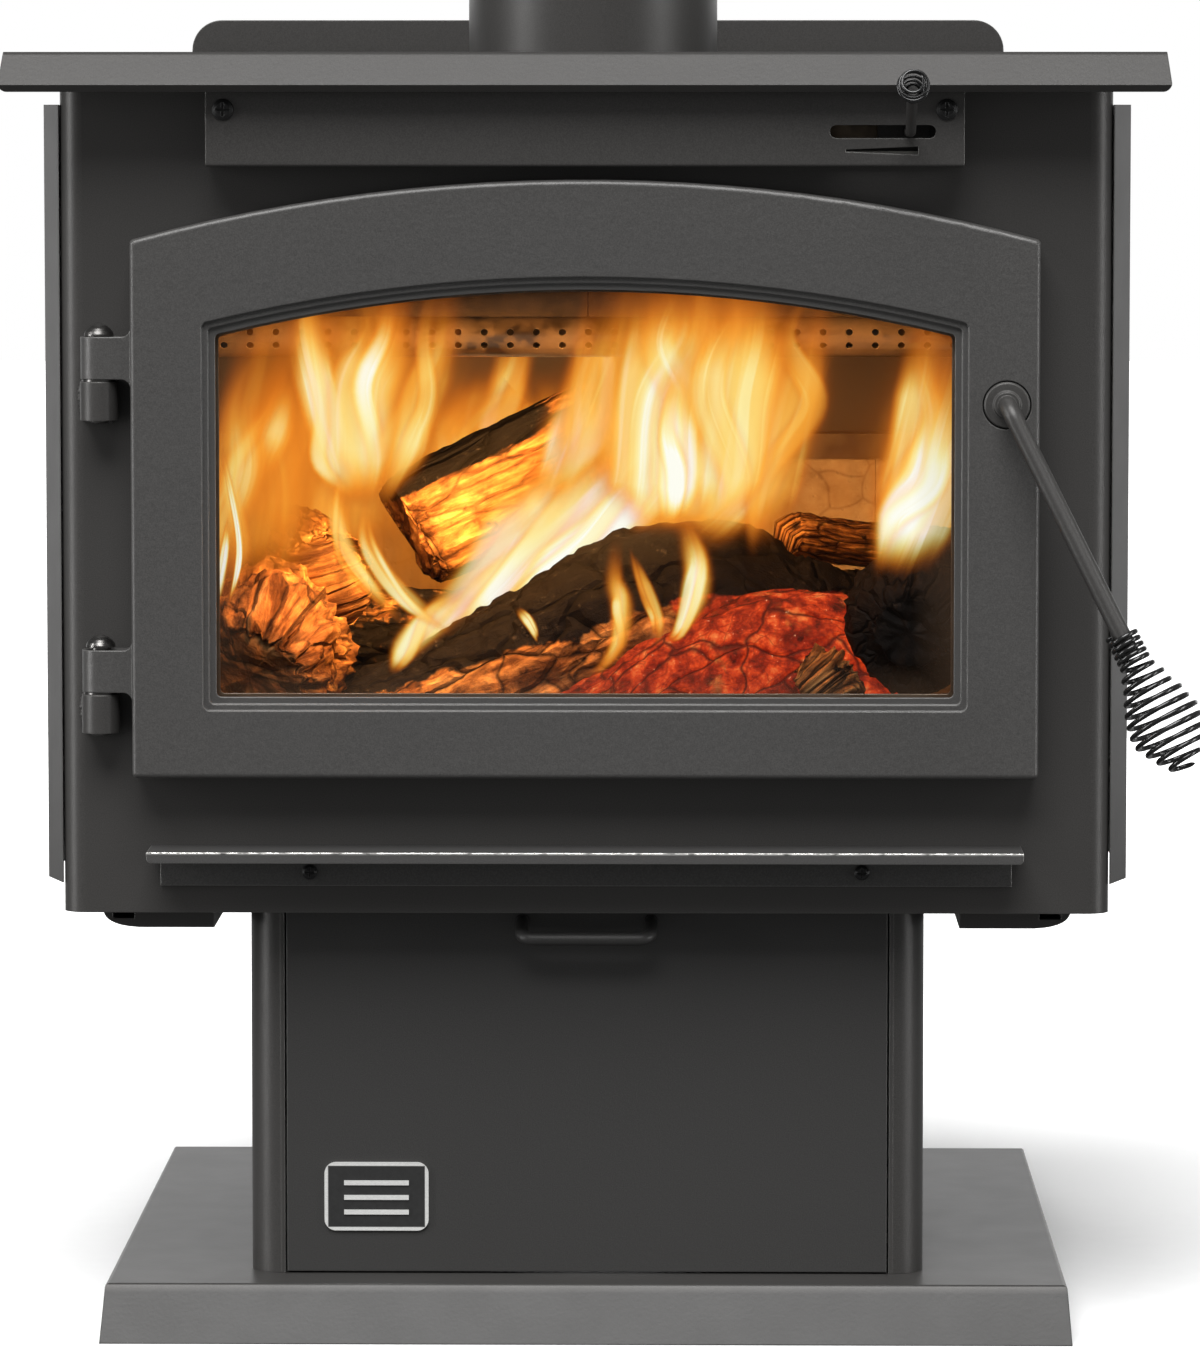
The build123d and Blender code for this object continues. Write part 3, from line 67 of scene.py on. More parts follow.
# --- material building
class Finish:
    """One material's node tree, with short calls for the nodes that the finishes share."""

    def __init__(self, name):
        self.name = name
        self.material = bpy.data.materials.new(name)
        self.material.use_nodes = True
        self.tree = self.material.node_tree
        self.tree.nodes.clear()
        self.output = self.node("OutputMaterial")
        self.place = self.node("TexCoord").outputs["Object"]

    def node(self, kind, inputs=None, **settings):
        made = self.tree.nodes.new("ShaderNode" + kind)
        for key, value in settings.items():
            setattr(made, key, value)
        for key, value in (inputs or {}).items():
            self.feed(made.inputs[key], value)
        return made

    def feed(self, socket, value):
        if isinstance(value, bpy.types.NodeSocket):
            self.tree.links.new(value, socket)
        elif isinstance(value, (tuple, list)) and socket.type == "RGBA" and len(value) == 3:
            socket.default_value = (*value, 1.0)
        else:
            socket.default_value = value

    def grain(self, scale, detail=2.0, roughness=0.5, where=None):
        made = self.node("TexNoise", {
            "Vector": where or self.place, "Scale": scale, "Detail": detail, "Roughness": roughness})
        return made.outputs["Fac"]

    def cells(self, scale, feature="DISTANCE_TO_EDGE", where=None):
        inputs = {"Vector": where or self.place, "Scale": scale}
        return self.node("TexVoronoi", inputs, feature=feature).outputs["Distance"]

    def stretch(self, scale, where=None):
        made = self.node("Mapping", {"Vector": where or self.place, "Scale": scale})
        return made.outputs["Vector"]

    def warp(self, where, scale, amount):
        """The place, pushed about by a coarse noise."""
        push = self.node("TexNoise", {"Vector": where, "Scale": scale, "Detail": 1.0})
        centred = self.vector("SUBTRACT", {0: push.outputs["Color"], 1: (0.5, 0.5, 0.5)})
        scaled = self.vector("SCALE", {0: centred.outputs[0], "Scale": amount})
        return self.vector("ADD", {0: where, 1: scaled.outputs[0]}).outputs[0]

    def span(self, value, low, high, to_low=0.0, to_high=1.0, smooth=False):
        made = self.node("MapRange", {
            "Value": value, "From Min": low, "From Max": high, "To Min": to_low, "To Max": to_high},
            interpolation_type="SMOOTHSTEP" if smooth else "LINEAR", clamp=True)
        return made.outputs["Result"]

    def vector(self, operation, inputs):
        return self.node("VectorMath", inputs, operation=operation)

    def fade(self, mask, at_none, at_full):
        return self.span(mask, 0.0, 1.0, at_none, at_full)

    def maths(self, operation, a, b=0.0):
        return self.node("Math", {0: a, 1: b}, operation=operation).outputs[0]

    def times(self, a, b):
        return self.maths("MULTIPLY", a, b)

    def plus(self, a, b):
        return self.maths("ADD", a, b)

    def swing(self, value, amount):
        """A noise moved to swing about 0, by up to half the amount either way."""
        return self.times(self.maths("SUBTRACT", value, 0.5), amount)

    def blend(self, amount, a, b):
        made = self.node("Mix", data_type="RGBA", clamp_factor=True)
        for key, value in (("Factor", amount), ("A", a), ("B", b)):
            socket = [s for s in made.inputs if s.name == key and s.enabled][0]
            self.feed(socket, value)
        return [s for s in made.outputs if s.enabled][0]

    def ramp(self, value, stops):
        made = self.node("ValToRGB", {"Fac": value})
        elements = made.color_ramp.elements
        elements.remove(elements[1])
        elements[0].position = stops[0][0]
        elements[0].color = (*stops[0][1], 1.0)
        for where, colour in stops[1:]:
            elements.new(where).color = (*colour, 1.0)
        return made.outputs["Color"]

    def axis(self, index):
        return self.node("SeparateXYZ", {0: self.place}).outputs[index]

    def off_middle(self, index, low, high):
        """Distance from the middle of the box along one axis."""
        middle = (low[index] + high[index]) / 2
        return self.maths("ABSOLUTE", self.maths("SUBTRACT", self.axis(index), middle))

    def per_point(self, name):
        """A number that the mesh carries at each of its points."""
        return self.node("Attribute", attribute_name=name).outputs["Fac"]

    def bump(self, height, strength, distance, normal=None):
        inputs = {"Height": height, "Strength": strength, "Distance": distance}
        made = self.node("Bump", inputs)
        if normal:
            self.feed(made.inputs["Normal"], normal)
        return made.outputs["Normal"]

    def rounded(self, radius):
        """(normal with soft edges, mask that is 1 along edges)."""
        soft = self.node("Bevel", {"Radius": radius}, samples=4).outputs["Normal"]
        flat = self.node("NewGeometry").outputs["Normal"]
        likeness = self.vector("DOT_PRODUCT", {0: soft, 1: flat}).outputs["Value"]
        return soft, self.span(likeness, 0.995, 0.86)

    def mixed(self, amount, first, second):
        return self.node("MixShader", {0: amount, 1: first.outputs[0], 2: second.outputs[0]})

    def show(self, shader):
        self.tree.links.new(shader.outputs[0], self.output.inputs["Surface"])

    def surface(self, **inputs):
        """A Principled surface as the whole material; underscores in names stand for spaces."""
        named = {k.replace("_", " "): v for k, v in inputs.items()}
        self.show(self.node("BsdfPrincipled", named))

    def thin_glow(self, colour, amount):
        """A see-through glow, for the flames and for the painted firelight glow: solid by the amount and clear
        for the rest. It isn't sampled as a lamp.
        """
        glow = self.node("Emission", {"Color": colour, "Strength": 1.0})
        clear = self.node("BsdfTransparent")
        self.show(self.mixed(amount, clear, glow))
        self.material.cycles.emission_sampling = "NONE"


def grey(level):
    return (level, level, level)


def shade(tone, factor):
    return tuple(c * factor for c in tone)


def paint(name, tone, painted_edge_tone, roughness, sand=0.0, metallic=0.3):
    """Sprayed high-heat paint: fine metal flake, mist-coat clouds, orange peel, edges lightened as a painted
    highlight, and painted shade low on the base pan.
    """
    f = Finish(name)
    flake = f.span(f.grain(FLAKE_SCALE, 1.0, 0.6), 0.32, 0.72)
    cloud = f.span(f.grain(4.5, 3.0, 0.55), 0.3, 0.7)
    mist = f.span(f.grain(38, 2.0), 0.3, 0.7)
    soft, edge = f.rounded(0.0011)
    dark, light = shade(tone, 0.80), shade(tone, 1.22)
    colour = f.blend(flake, dark, light)
    colour = f.blend(f.times(cloud, 0.10), colour, light)
    colour = f.blend(f.times(mist, 0.10), colour, dark)
    # Painted highlight: the colour is lightened along the edges.
    colour = f.blend(f.times(edge, 0.75), colour, painted_edge_tone)
    # Painted shade: the paint is darker on the base pan below its top.
    colour = f.blend(f.span(f.axis(2), *LIP_PAINTED_SHADE), colour, shade(tone, 0.42))
    rough = f.plus(f.plus(f.times(mist, 0.02), f.times(flake, 0.04)), roughness)
    normal = f.bump(f.grain(PEEL_SCALE, 2.0), 0.10, PEEL_DEPTH, soft)
    if sand:
        pits, lumps = f.grain(260, 4.0, 0.62), f.grain(95, 2.0)
        normal = f.bump(f.plus(f.times(pits, 0.65), f.times(lumps, 0.5)), sand, SAND_DEPTH, soft)
    f.surface(Base_Color=colour, Metallic=metallic, Roughness=rough, Normal=normal)
    return f


def metal(name, dark, light, roughness, painted_edge_tone=None, metallic=1.0):
    """Bare or plated metal with fine brush lines, smudges and edges lightened as a painted highlight."""
    f = Finish(name)
    lines = f.grain(30, 3.0, 0.6, f.stretch((60, 60, 60)))
    smudge = f.span(f.grain(22, 3.0), 0.35, 0.7)
    soft, edge = f.rounded(0.0006)
    colour = f.blend(f.span(lines, 0.3, 0.7), dark, light)
    colour = f.blend(f.times(smudge, 0.35), colour, dark)
    # Painted highlight: the colour is lightened along the edges.
    colour = f.blend(f.times(edge, 0.7), colour, painted_edge_tone or light)
    rough = f.plus(f.times(smudge, 0.16), roughness)
    f.surface(Base_Color=colour, Metallic=metallic, Roughness=rough, Normal=f.bump(lines, 0.08, 0.0004, soft))
    return f


def bare_edge_steel():
    """Painted ash lip whose front top corner is rubbed through to bright steel."""
    f = Finish("bare_edge_steel")
    flake = f.span(f.grain(FLAKE_SCALE, 1.0, 0.6), 0.32, 0.72)
    soft, edge = f.rounded(0.001)
    paint_colour = f.blend(flake, (0.050, 0.049, 0.048), (0.082, 0.080, 0.078))
    front, top = f.span(f.axis(1), *WORN_FRONT), f.span(f.axis(2), *WORN_TOP)
    ragged = f.span(f.grain(300, 3.0, 0.65, f.stretch((0.35, 1, 1))), 0.36, 0.52)
    wear_and_edge_highlight = f.times(f.times(front, top), ragged)
    # Painted highlight: every edge is lightened a little toward bright steel, on top of the rubbed corner.
    wear_and_edge_highlight = f.maths("MAXIMUM", wear_and_edge_highlight, f.times(edge, 0.25))
    f.surface(Base_Color=f.blend(wear_and_edge_highlight, paint_colour, (0.78, 0.77, 0.74)),
              Metallic=f.fade(wear_and_edge_highlight, 0.3, 1.0), Roughness=f.fade(wear_and_edge_highlight, 0.50, 0.24),
              Normal=f.bump(f.grain(PEEL_SCALE, 2.0), 0.10, PEEL_DEPTH, soft))
    return f


def stainless():
    """Stainless tubes and ducts, straw and brown from heat, with a film of soot."""
    f = Finish("stainless")
    lines = f.grain(18, 3.0, 0.6, f.stretch((1.5, 40, 40)))
    soot = f.span(f.grain(30, 4.0, 0.6), 0.40, 0.66)
    soft, edge = f.rounded(0.0006)
    colour = f.ramp(f.grain(9, 3.0, 0.55), [(0.30, (0.10, 0.075, 0.055)), (0.48, (0.24, 0.19, 0.14)),
                                            (0.70, (0.15, 0.10, 0.065))])
    colour = f.blend(f.times(soot, 0.7), colour, (0.035, 0.027, 0.022))
    # Painted highlight: the colour is lightened along the edges.
    colour = f.blend(f.times(edge, 0.4), colour, (0.62, 0.55, 0.47))
    f.surface(Base_Color=colour, Metallic=f.fade(soot, 0.95, 0.2),
              Roughness=f.plus(f.times(soot, 0.35), 0.30), Normal=f.bump(lines, 0.12, 0.0005, soft))
    return f


def firebrick():
    """Buff firebrick, pitted, crazed and smoked brown to black."""
    f = Finish("firebrick")
    pits = f.cells(170, "F1")
    body = f.grain(70, 5.0, 0.65)
    smoke = f.span(f.grain(7, 4.0, 0.6), 0.34, 0.64)
    colour = f.ramp(body, [(0.30, (0.28, 0.19, 0.11)), (0.52, (0.47, 0.34, 0.21)),
                           (0.75, (0.56, 0.44, 0.30))])
    colour = f.blend(f.times(smoke, 0.8), colour, (0.045, 0.030, 0.020))
    craze = f.span(f.cells(34, where=f.warp(f.place, 30, 0.02)), 0.0, 0.05, 1.0, 0.0)
    colour = f.blend(f.times(craze, 0.5), colour, (0.05, 0.03, 0.02))
    soft, edge = f.rounded(0.0015)
    height = f.plus(f.times(body, 0.6), f.span(pits, 0.0, 0.25, 0.0, 0.4))
    # Painted highlight: the colour is lightened along the edges.
    f.surface(Base_Color=f.blend(f.times(edge, 0.3), colour, (0.5, 0.38, 0.25)), Roughness=0.93,
              Normal=f.bump(height, 0.6, 0.002, soft))
    return f


def powdery(name, pale, dark, scale, strength, fibres=False):
    """Dull fibrous or pressed board, smoked in patches."""
    f = Finish(name)
    where = f.warp(f.stretch((1, 1, 6) if fibres else (1, 1, 1)), 12, 0.05)
    threads = f.grain(scale, 5.0, 0.7, where)
    patch = f.span(f.grain(11, 3.0), 0.38, 0.66)
    colour = f.blend(f.span(threads, 0.3, 0.7), dark, pale)
    colour = f.blend(f.times(patch, 0.55), colour, shade(dark, 0.4))
    f.surface(Base_Color=colour, Roughness=0.95, Normal=f.bump(threads, strength, 0.002))
    return f


def rope_seal():
    """Braided graphite-grey rope: two crossing sets of strands, darkest between the strands as painted shade.
    """
    f = Finish("rope_seal")
    one, two = (f.maths("SINE", f.times(f.maths(way, f.axis(0), f.axis(2)), BRAID_TURNS))
                for way in ("ADD", "SUBTRACT"))
    braid_height_and_shade = f.span(f.maths("MAXIMUM", one, two), -0.6, 1.0)
    fuzz = f.grain(900, 3.0, 0.7)
    # Painted shade: the colour is darkest in the grooves between the strands and lighter on their crowns.
    colour = f.blend(braid_height_and_shade, (0.018, 0.017, 0.016), (0.16, 0.155, 0.15))
    colour = f.blend(f.span(fuzz, 0.45, 0.75, 0.0, 0.5), colour, (0.3, 0.29, 0.27))
    f.surface(Base_Color=colour, Roughness=0.9, Normal=f.bump(f.plus(braid_height_and_shade, fuzz), 0.5, 0.001))
    return f


def window_glass():
    """Clear ceramic glass with a brown smoke film, thicker towards the edges of the pane."""
    f = Finish("window_glass")
    low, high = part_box("door_glass")
    half = (high - low) / 2
    rim = f.maths("MAXIMUM", f.span(f.off_middle(0, low, high), half.x - PANE_RIM_ACROSS, half.x),
                  f.span(f.off_middle(2, low, high), half.z - PANE_RIM_UP, half.z))
    streaks = f.grain(14, 4.0, 0.6, f.stretch((1, 1, 0.4)))
    film = f.times(f.plus(f.times(rim, 0.30), 0.008), streaks)
    clear = f.node("BsdfTransparent")
    smoke = f.node("BsdfPrincipled", {"Base Color": (0.10, 0.05, 0.02), "Roughness": 0.7})
    shine = f.node("BsdfGlossy", {"Color": (1, 1, 1), "Roughness": 0.03})
    fresnel = f.node("Fresnel", {"IOR": 1.12})
    f.show(f.mixed(fresnel.outputs[0], f.mixed(film, clear, smoke), shine))
    return f


def spring_wire():
    """Glossy black wire with faint draw marks."""
    f = Finish("spring_wire")
    marks = f.grain(500, 2.0)
    wear = f.span(f.grain(90, 3.0), 0.55, 0.75)
    colour = f.blend(f.times(wear, 0.5), grey(0.012), grey(0.05))
    f.surface(Base_Color=colour, Metallic=0.4, Roughness=f.span(marks, 0.3, 0.7, 0.20, 0.32), Coat_Weight=0.5,
              Coat_Roughness=0.12, Normal=f.bump(marks, 0.06, 0.0003))
    return f


def ash_pan_steel():
    """Plain steel pan with a spangled zinc skin under a veil of ash."""
    f = Finish("ash_pan_steel")
    spangle = f.cells(120, "F1", f.warp(f.place, 60, 0.01))
    dust = f.span(f.grain(45, 4.0, 0.65), 0.42, 0.66)
    soft, edge = f.rounded(0.0006)
    colour = f.blend(f.span(spangle, 0.0, 0.6), grey(0.26), grey(0.32))
    colour = f.blend(f.times(dust, 0.6), colour, (0.34, 0.32, 0.30))
    # Painted highlight: the colour is lightened along the edges.
    colour = f.blend(f.times(edge, 0.5), colour, grey(0.6))
    f.surface(Base_Color=colour, Metallic=f.fade(dust, 0.7, 0.3),
              Roughness=f.fade(dust, 0.45, 0.75), Normal=f.bump(spangle, 0.05, 0.0005, soft))
    return f


def badge_metal():
    """Badge with a bright raised rim and bars over a black enamelled ground."""
    f = Finish("badge_metal")
    low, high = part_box("badge_plate")
    raised = f.span(f.axis(1), low.y + 0.0004, low.y + 0.0001)
    for axis in (0, 2):
        half = (high[axis] - low[axis]) / 2
        rim = f.span(f.off_middle(axis, low, high), *(half - inset for inset in BADGE_RIM))
        raised = f.maths("MAXIMUM", raised, rim)
    lines = f.grain(40, 2.0, 0.6, f.stretch((20, 60, 60)))
    bright = f.blend(f.span(lines, 0.3, 0.7), (0.80, 0.80, 0.78), (0.95, 0.95, 0.93))
    ground = f.blend(f.grain(400, 2.0), grey(0.015), grey(0.03))
    f.surface(Base_Color=f.blend(raised, ground, bright), Metallic=f.fade(raised, 0.1, 0.45),
              Roughness=f.fade(raised, 0.45, 0.30), Normal=f.bump(lines, 0.05, 0.0003))
    return f


def slot_finishes():
    """The finish of each material slot in the record. Tones are linear: body, then the painted edge highlight.
    """
    made = [
        paint("painted_steel", (0.049, 0.047, 0.045), (0.15, 0.147, 0.14), 0.40),
        paint("cast_iron_paint", (0.072, 0.070, 0.068), (0.20, 0.197, 0.19), 0.37, sand=0.24),
        bare_edge_steel(),
        stainless(),
        metal("hinge_steel", (0.085, 0.082, 0.079), (0.19, 0.185, 0.18), 0.25, (0.34, 0.33, 0.31)),
        metal("black_screws", grey(0.010), grey(0.035), 0.33, grey(0.10), 0.6),
        metal("zinc_hardware", (0.42, 0.41, 0.38), (0.68, 0.67, 0.63), 0.30),
        spring_wire(),
        firebrick(),
        powdery("baffle_board", (0.028, 0.020, 0.014), (0.009, 0.0065, 0.0045), 120, 0.35),
        powdery("ceramic_wool", (0.78, 0.76, 0.72), (0.55, 0.52, 0.48), 90, 0.8, fibres=True),
        rope_seal(),
        window_glass(),
        paint("drawer_steel", (0.043, 0.042, 0.041), (0.12, 0.118, 0.112), 0.46),
        ash_pan_steel(),
        paint("plug_iron", (0.045, 0.040, 0.036), (0.09, 0.08, 0.07), 0.62, sand=0.4, metallic=0.5),
        badge_metal(),
    ]
    return {f.name: f for f in made}


def dress_cad_nodes(finishes):
    """Gives every CAD node the finish of its slot in the record."""
    for part in RECORD["subparts"]:
        node = NODES[part["node"]]
        node.data.materials.clear()
        node.data.materials.append(finishes[part["material_slot"]].material)


# --- meshes
def placed(name, data, location=(0, 0, 0), aim=None):
    """A new object in the scene, with its -Z along aim."""
    made = bpy.data.objects.new(name, data)
    made.location = location
    if aim is not None:
        made.rotation_mode = "QUATERNION"
        made.rotation_quaternion = Vector(aim).to_track_quat("-Z", "Y")
    bpy.context.scene.collection.objects.link(made)
    return made


def new_mesh(name, points, faces, material, body, slot=None, uvs=None, values=None):
    """A smooth-shaded mesh piece that rides on a body. values is {name: a number per point}."""
    mesh = bpy.data.meshes.new(name)
    mesh.from_pydata([tuple(p) for p in points], [], faces)
    mesh.materials.append(material)
    for face in mesh.polygons:
        face.use_smooth = True
    if uvs:
        layer = mesh.uv_layers.new(name="flow")
        for loop in mesh.loops:
            layer.data[loop.index].uv = uvs[loop.vertex_index]
    for key, numbers in (values or {}).items():
        attribute = mesh.attributes.new(key, "FLOAT", "POINT")
        attribute.data.foreach_set("value", numbers)
    mesh.validate()
    piece = placed(name, mesh)
    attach(piece, body)
    return piece


def grid_faces(columns, rows, first=0):
    """Faces between rows of points, columns + 1 points to a row."""
    faces = []
    for j in range(rows):
        for i in range(columns):
            a = first + j * (columns + 1) + i
            faces.append((a, a + 1, a + columns + 2, a + columns + 1))
    return faces


def tube_faces(rings, sides):
    """Faces between rings of points, and the two fans to the centre points that follow the rings."""
    faces = []
    for i in range(rings - 1):
        for j in range(sides):
            k = (j + 1) % sides
            faces.append((i * sides + j, i * sides + k, (i + 1) * sides + k, (i + 1) * sides + j))
    for end, (ring, order) in enumerate(((0, -1), (rings - 1, 1))):
        for j in range(sides):
            pair = (ring * sides + j, ring * sides + (j + 1) % sides)
            faces.append((rings * sides + end, *pair[::order]))
    return faces


def smooth_path(knots, count):
    """count points along a smooth curve through the knots, each of any length, Catmull-Rom by components."""
    knots = [tuple(k) for k in knots]
    padded = [knots[0], *knots, knots[-1]]
    found = []
    for i in range(count):
        t = i / (count - 1) * (len(knots) - 1)
        at = min(int(t), len(knots) - 2)
        u = t - at
        row = []
        for a, b, c, d in zip(*padded[at:at + 4]):
            square, cube = 2 * a - 5 * b + 4 * c - d, 3 * b - a - 3 * c + d
            row.append(0.5 * (2 * b + (c - a) * u + square * u * u + cube * u ** 3))
        found.append(row)
    return found


def heading(path, i):
    """Direction of the path at its point i."""
    return (path[min(i + 1, len(path) - 1)] - path[max(i - 1, 0)]).normalized()


def frames_along(path):
    """(tangent, side, up) at each point of the path, turned as little as possible from one to the next."""
    side = heading(path, 0).orthogonal().normalized()
    rows = []
    for i in range(len(path)):
        tangent = heading(path, i)
        side = (side - tangent * side.dot(tangent)).normalized()
        rows.append((tangent, side, tangent.cross(side)))
    return rows


def swept_points(path, radii, sides):
    """Points of a closed tube: its rings, then the centres of its two ends."""
    points = []
    for place, radius, frame_here in zip(path, radii, frames_along(path)):
        side, up = frame_here[1:]
        for j in range(sides):
            angle = FULL_TURN * j / sides
            points.append(place + side * (radius * math.cos(angle)) + up * (radius * math.sin(angle)))
    return points + [path[0], path[-1]]


# --- wire coils
# A profile is (distance along the axis, outside radius) in mm. Rows of a coil: name, origin and direction of
# the axis, profile, wire, turns, close turns and their length in mm, CAD node replaced, body.
WIRE_SIDES, STEPS_PER_TURN = 12, 30
WIRE_TIP = (0.35, 0.75, 0.95)
ROD_TILT, ROD_LEAN = math.radians(26.3), math.radians(11)
ROD = Vector((math.sin(ROD_TILT) * math.cos(ROD_LEAN), -math.sin(ROD_LEAN),
              -math.cos(ROD_TILT) * math.cos(ROD_LEAN)))
GRIP_START = Vector((250.3, -320, 567.6)) + 150.5 * ROD
GRIP_PROFILE = [(0, 9.9), (20, 10.2), (32, 14.5), (46, 20.1), (57, 23.1), (65, 22.7), (74, 18.4), (82, 12.4),
                (87, 8.8)]
KNOB_PROFILE = [(0, 5.6), (6, 5.8), (11, 8.0), (17, 10.0), (23, 9.2), (28, 6.5)]
COILS = [
    ("handle_wire_grip", GRIP_START, ROD, GRIP_PROFILE, 3.0, 15.5, 5.0, 19.0, "handle_grip", "handle"),
    ("lever_wire_knob", (192.3, -345.5, 750.6), (0, -0.962, 0.272), KNOB_PROFILE, 1.9, 8.5, 3.0, 6.5,
     "air_lever_knob", "air_control"),
]


def coil_radius(profile, along):
    for (s0, r0), (s1, r1) in zip(profile, profile[1:]):
        if along <= s1:
            u = (along - s0) / (s1 - s0)
            u = u * u * (3 - 2 * u)
            return r0 + (r1 - r0) * u
    return profile[-1][1]


def wire_coil(name, origin, direction, profile, wire, turns, tight_turns, tight_length, node, body):
    """Spring wound on an axis: close turns first, then an open swell."""
    origin = Vector(origin) * MM
    direction = Vector(direction).normalized()
    across = direction.orthogonal().normalized()
    up = direction.cross(across)
    length = profile[-1][0]
    steps = int(turns * STEPS_PER_TURN)
    path = []
    for i in range(steps + 1):
        turn = turns * i / steps
        if turn < tight_turns:
            along = tight_length * turn / tight_turns
        else:
            along = tight_length + (length - tight_length) * (turn - tight_turns) / (turns - tight_turns)
        radius = (coil_radius(profile, along) - wire / 2) * MM
        angle = FULL_TURN * turn
        out = across * math.cos(angle) + up * math.sin(angle)
        path.append(origin + direction * (along * MM) + out * radius)
    radii = [wire / 2 * MM] * len(path)
    for i, share in enumerate(WIRE_TIP):
        radii[i] *= share
        radii[-1 - i] *= share
    piece = new_mesh(name, swept_points(path, radii, WIRE_SIDES), tube_faces(len(path), WIRE_SIDES),
                     FINISHES["spring_wire"].material, body, "spring_wire")
    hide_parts(node)


# --- hinge welds
# The barrels' left side and height in mm. A barrel is (name, height of its foot, seed).
BARREL_LEFT, BARREL_HEIGHT = -299.7, 23.1
BARRELS = [("upper", 557.6, 3.1), ("lower", 370.8, 8.7)]
BEAD_POINTS, BEAD_SIDES = 60, 14
BEAD_LUMP_SCALE, BEAD_LUMP = 700, 0.0005


def weld_bead(name, knots, seed):
    """Irregular weld bead along knots (x, y, z, radius) in mm, with the ripple of a hand weld."""
    rows = smooth_path(knots, BEAD_POINTS)
    path = [Vector(r[:3]) * MM for r in rows]
    radii = []
    for i, row in enumerate(rows):
        ripple = 1 + 0.16 * math.sin(i * 1.9) + 0.35 * noise.noise(Vector((i * 0.23, seed, 0.0)))
        taper = min(1.0, (i + 1) / 4, (len(rows) - i) / 4)
        radii.append(row[3] * ripple * taper * MM)
    rough = []
    for p in swept_points(path, radii, BEAD_SIDES):
        push = noise.noise(p * BEAD_LUMP_SCALE + Vector((seed, 0, 0))) * BEAD_LUMP
        rough.append(p + Vector((push, push * 0.4, push)))
    new_mesh(name, rough, tube_faces(len(path), BEAD_SIDES), FINISHES["painted_steel"].material, "stove",
             "painted_steel")


def hinge_welds():
    """A bead up the left side of each barrel's saddle, and a short one under it."""
    x = BARREL_LEFT
    for name, low, seed in BARRELS:
        top = low + BARREL_HEIGHT
        side = [(x + 2.5, -272.2, top + 2.2, 1.2), (x - 0.6, -272.4, top - 1, 1.7),
                (x - 2.2, -272.6, top - 9, 2.2), (x - 1.4, -272.4, top - 17, 1.6),
                (x - 0.5, -272.2, low + 1, 1.1), (x + 1.5, -272.0, low - 1.6, 0.9)]
        foot = [(x + 2.5, -272.2, low - 0.8, 0.9), (x + 7, -273.2, low - 1.4, 1.5),
                (x + 12, -273.4, low - 1.0, 1.2), (x + 17, -272.4, low - 1.4, 1.3)]
        weld_bead(f"hinge_weld_{name}_side", side, seed)
        weld_bead(f"hinge_weld_{name}_foot", foot, seed + 5)


# --- fire: wood
# A log is (name, knots (x, y, z, radius) in mm, seed, squareness, roll, lump, furrow, char, glow).
# char is how far it is burnt black, and glow how much of it is red hot.
LOGS = [
    ("log_front", [(-205, -105, 312, 44), (-150, -104, 338, 46), (-90, -100, 362, 48), (-35, -96, 386, 52),
                   (15, -92, 408, 60), (70, -88, 418, 64), (115, -84, 405, 58), (155, -78, 398, 52),
                   (205, -70, 392, 48)], 2.0, 2.3, 0.2, 0.10, 1.0, 0.55, 0.0),
    ("log_glowing", [(-40, -150, 322, 40), (20, -146, 350, 46), (75, -142, 378, 52), (125, -138, 392, 54),
                     (185, -130, 384, 46)], 7.0, 2.4, 0.5, 0.08, 0.8, 0.15, 0.72),
    ("log_left", [(-206, -214, 398, 30), (-202, -196, 404, 48), (-198, -150, 407, 52), (-200, -95, 405, 50),
                  (-206, -30, 398, 46)], 11.0, 2.2, 0.0, 0.22, 1.5, 0.25, 0.02),
    ("log_cut", [(-163, -78, 446, 30), (-166, -74, 446, 32), (-176, -30, 450, 33), (-192, 60, 452, 34),
                 (-206, 140, 450, 34)], 13.0, 2.0, 0.0, 0.05, 0.6, 0.05, 0.0),
    ("log_charred", [(-118, 40, 470, 34), (-108, 42, 475, 38), (-52, 52, 501, 40), (4, 60, 527, 39),
                     (15, 62, 532, 34)], 17.0, 4.5, 0.62, 0.05, 0.5, 0.25, 0.03),
    ("log_branch", [(128, 52, 468, 11), (130, 54, 468, 14), (165, 95, 460, 15), (225, 140, 452, 16)],
     19.0, 2.0, 0.0, 0.06, 0.5, 0.3, 0.0),
    ("log_right", [(196, -206, 424, 22), (200, -192, 427, 40), (206, -150, 429, 46), (216, -80, 430, 46),
                   (226, -10, 432, 44)], 23.0, 2.4, 0.3, 0.09, 0.8, 1.0, 0.0),
    ("log_split_end", [(140, -196, 388, 14), (143, -192, 390, 21), (150, -150, 388, 24), (160, -90, 380, 26)],
     29.0, 3.2, 0.4, 0.14, 1.0, 0.35, 0.06),
    ("log_base", [(-225, -60, 331, 30), (-120, -50, 333, 34), (0, -40, 335, 36), (120, -30, 333, 35),
                  (228, -25, 331, 30)], 31.0, 2.2, 0.1, 0.08, 0.9, 0.9, 0.4),
    ("log_rear", [(-210, 95, 345, 40), (-90, 100, 352, 46), (60, 104, 356, 48), (215, 100, 350, 42)],
     37.0, 2.2, 0.1, 0.08, 0.9, 0.8, 0.3),
    ("log_prop", [(150, 20, 350, 30), (150, 30, 372, 33), (152, 40, 410, 33), (150, 50, 440, 26)],
     41.0, 2.6, 0.1, 0.10, 0.9, 0.7, 0.2),
    ("log_under_cut", [(-215, 20, 395, 30), (-140, 24, 398, 36), (-60, 30, 396, 36), (20, 36, 392, 30)],
     43.0, 2.6, 0.3, 0.10, 0.9, 0.6, 0.3),
]
LOG_SIDES, LOG_STEP = 84, 2.6
END_RINGS = (0.94, 0.8, 0.6, 0.38, 0.16)
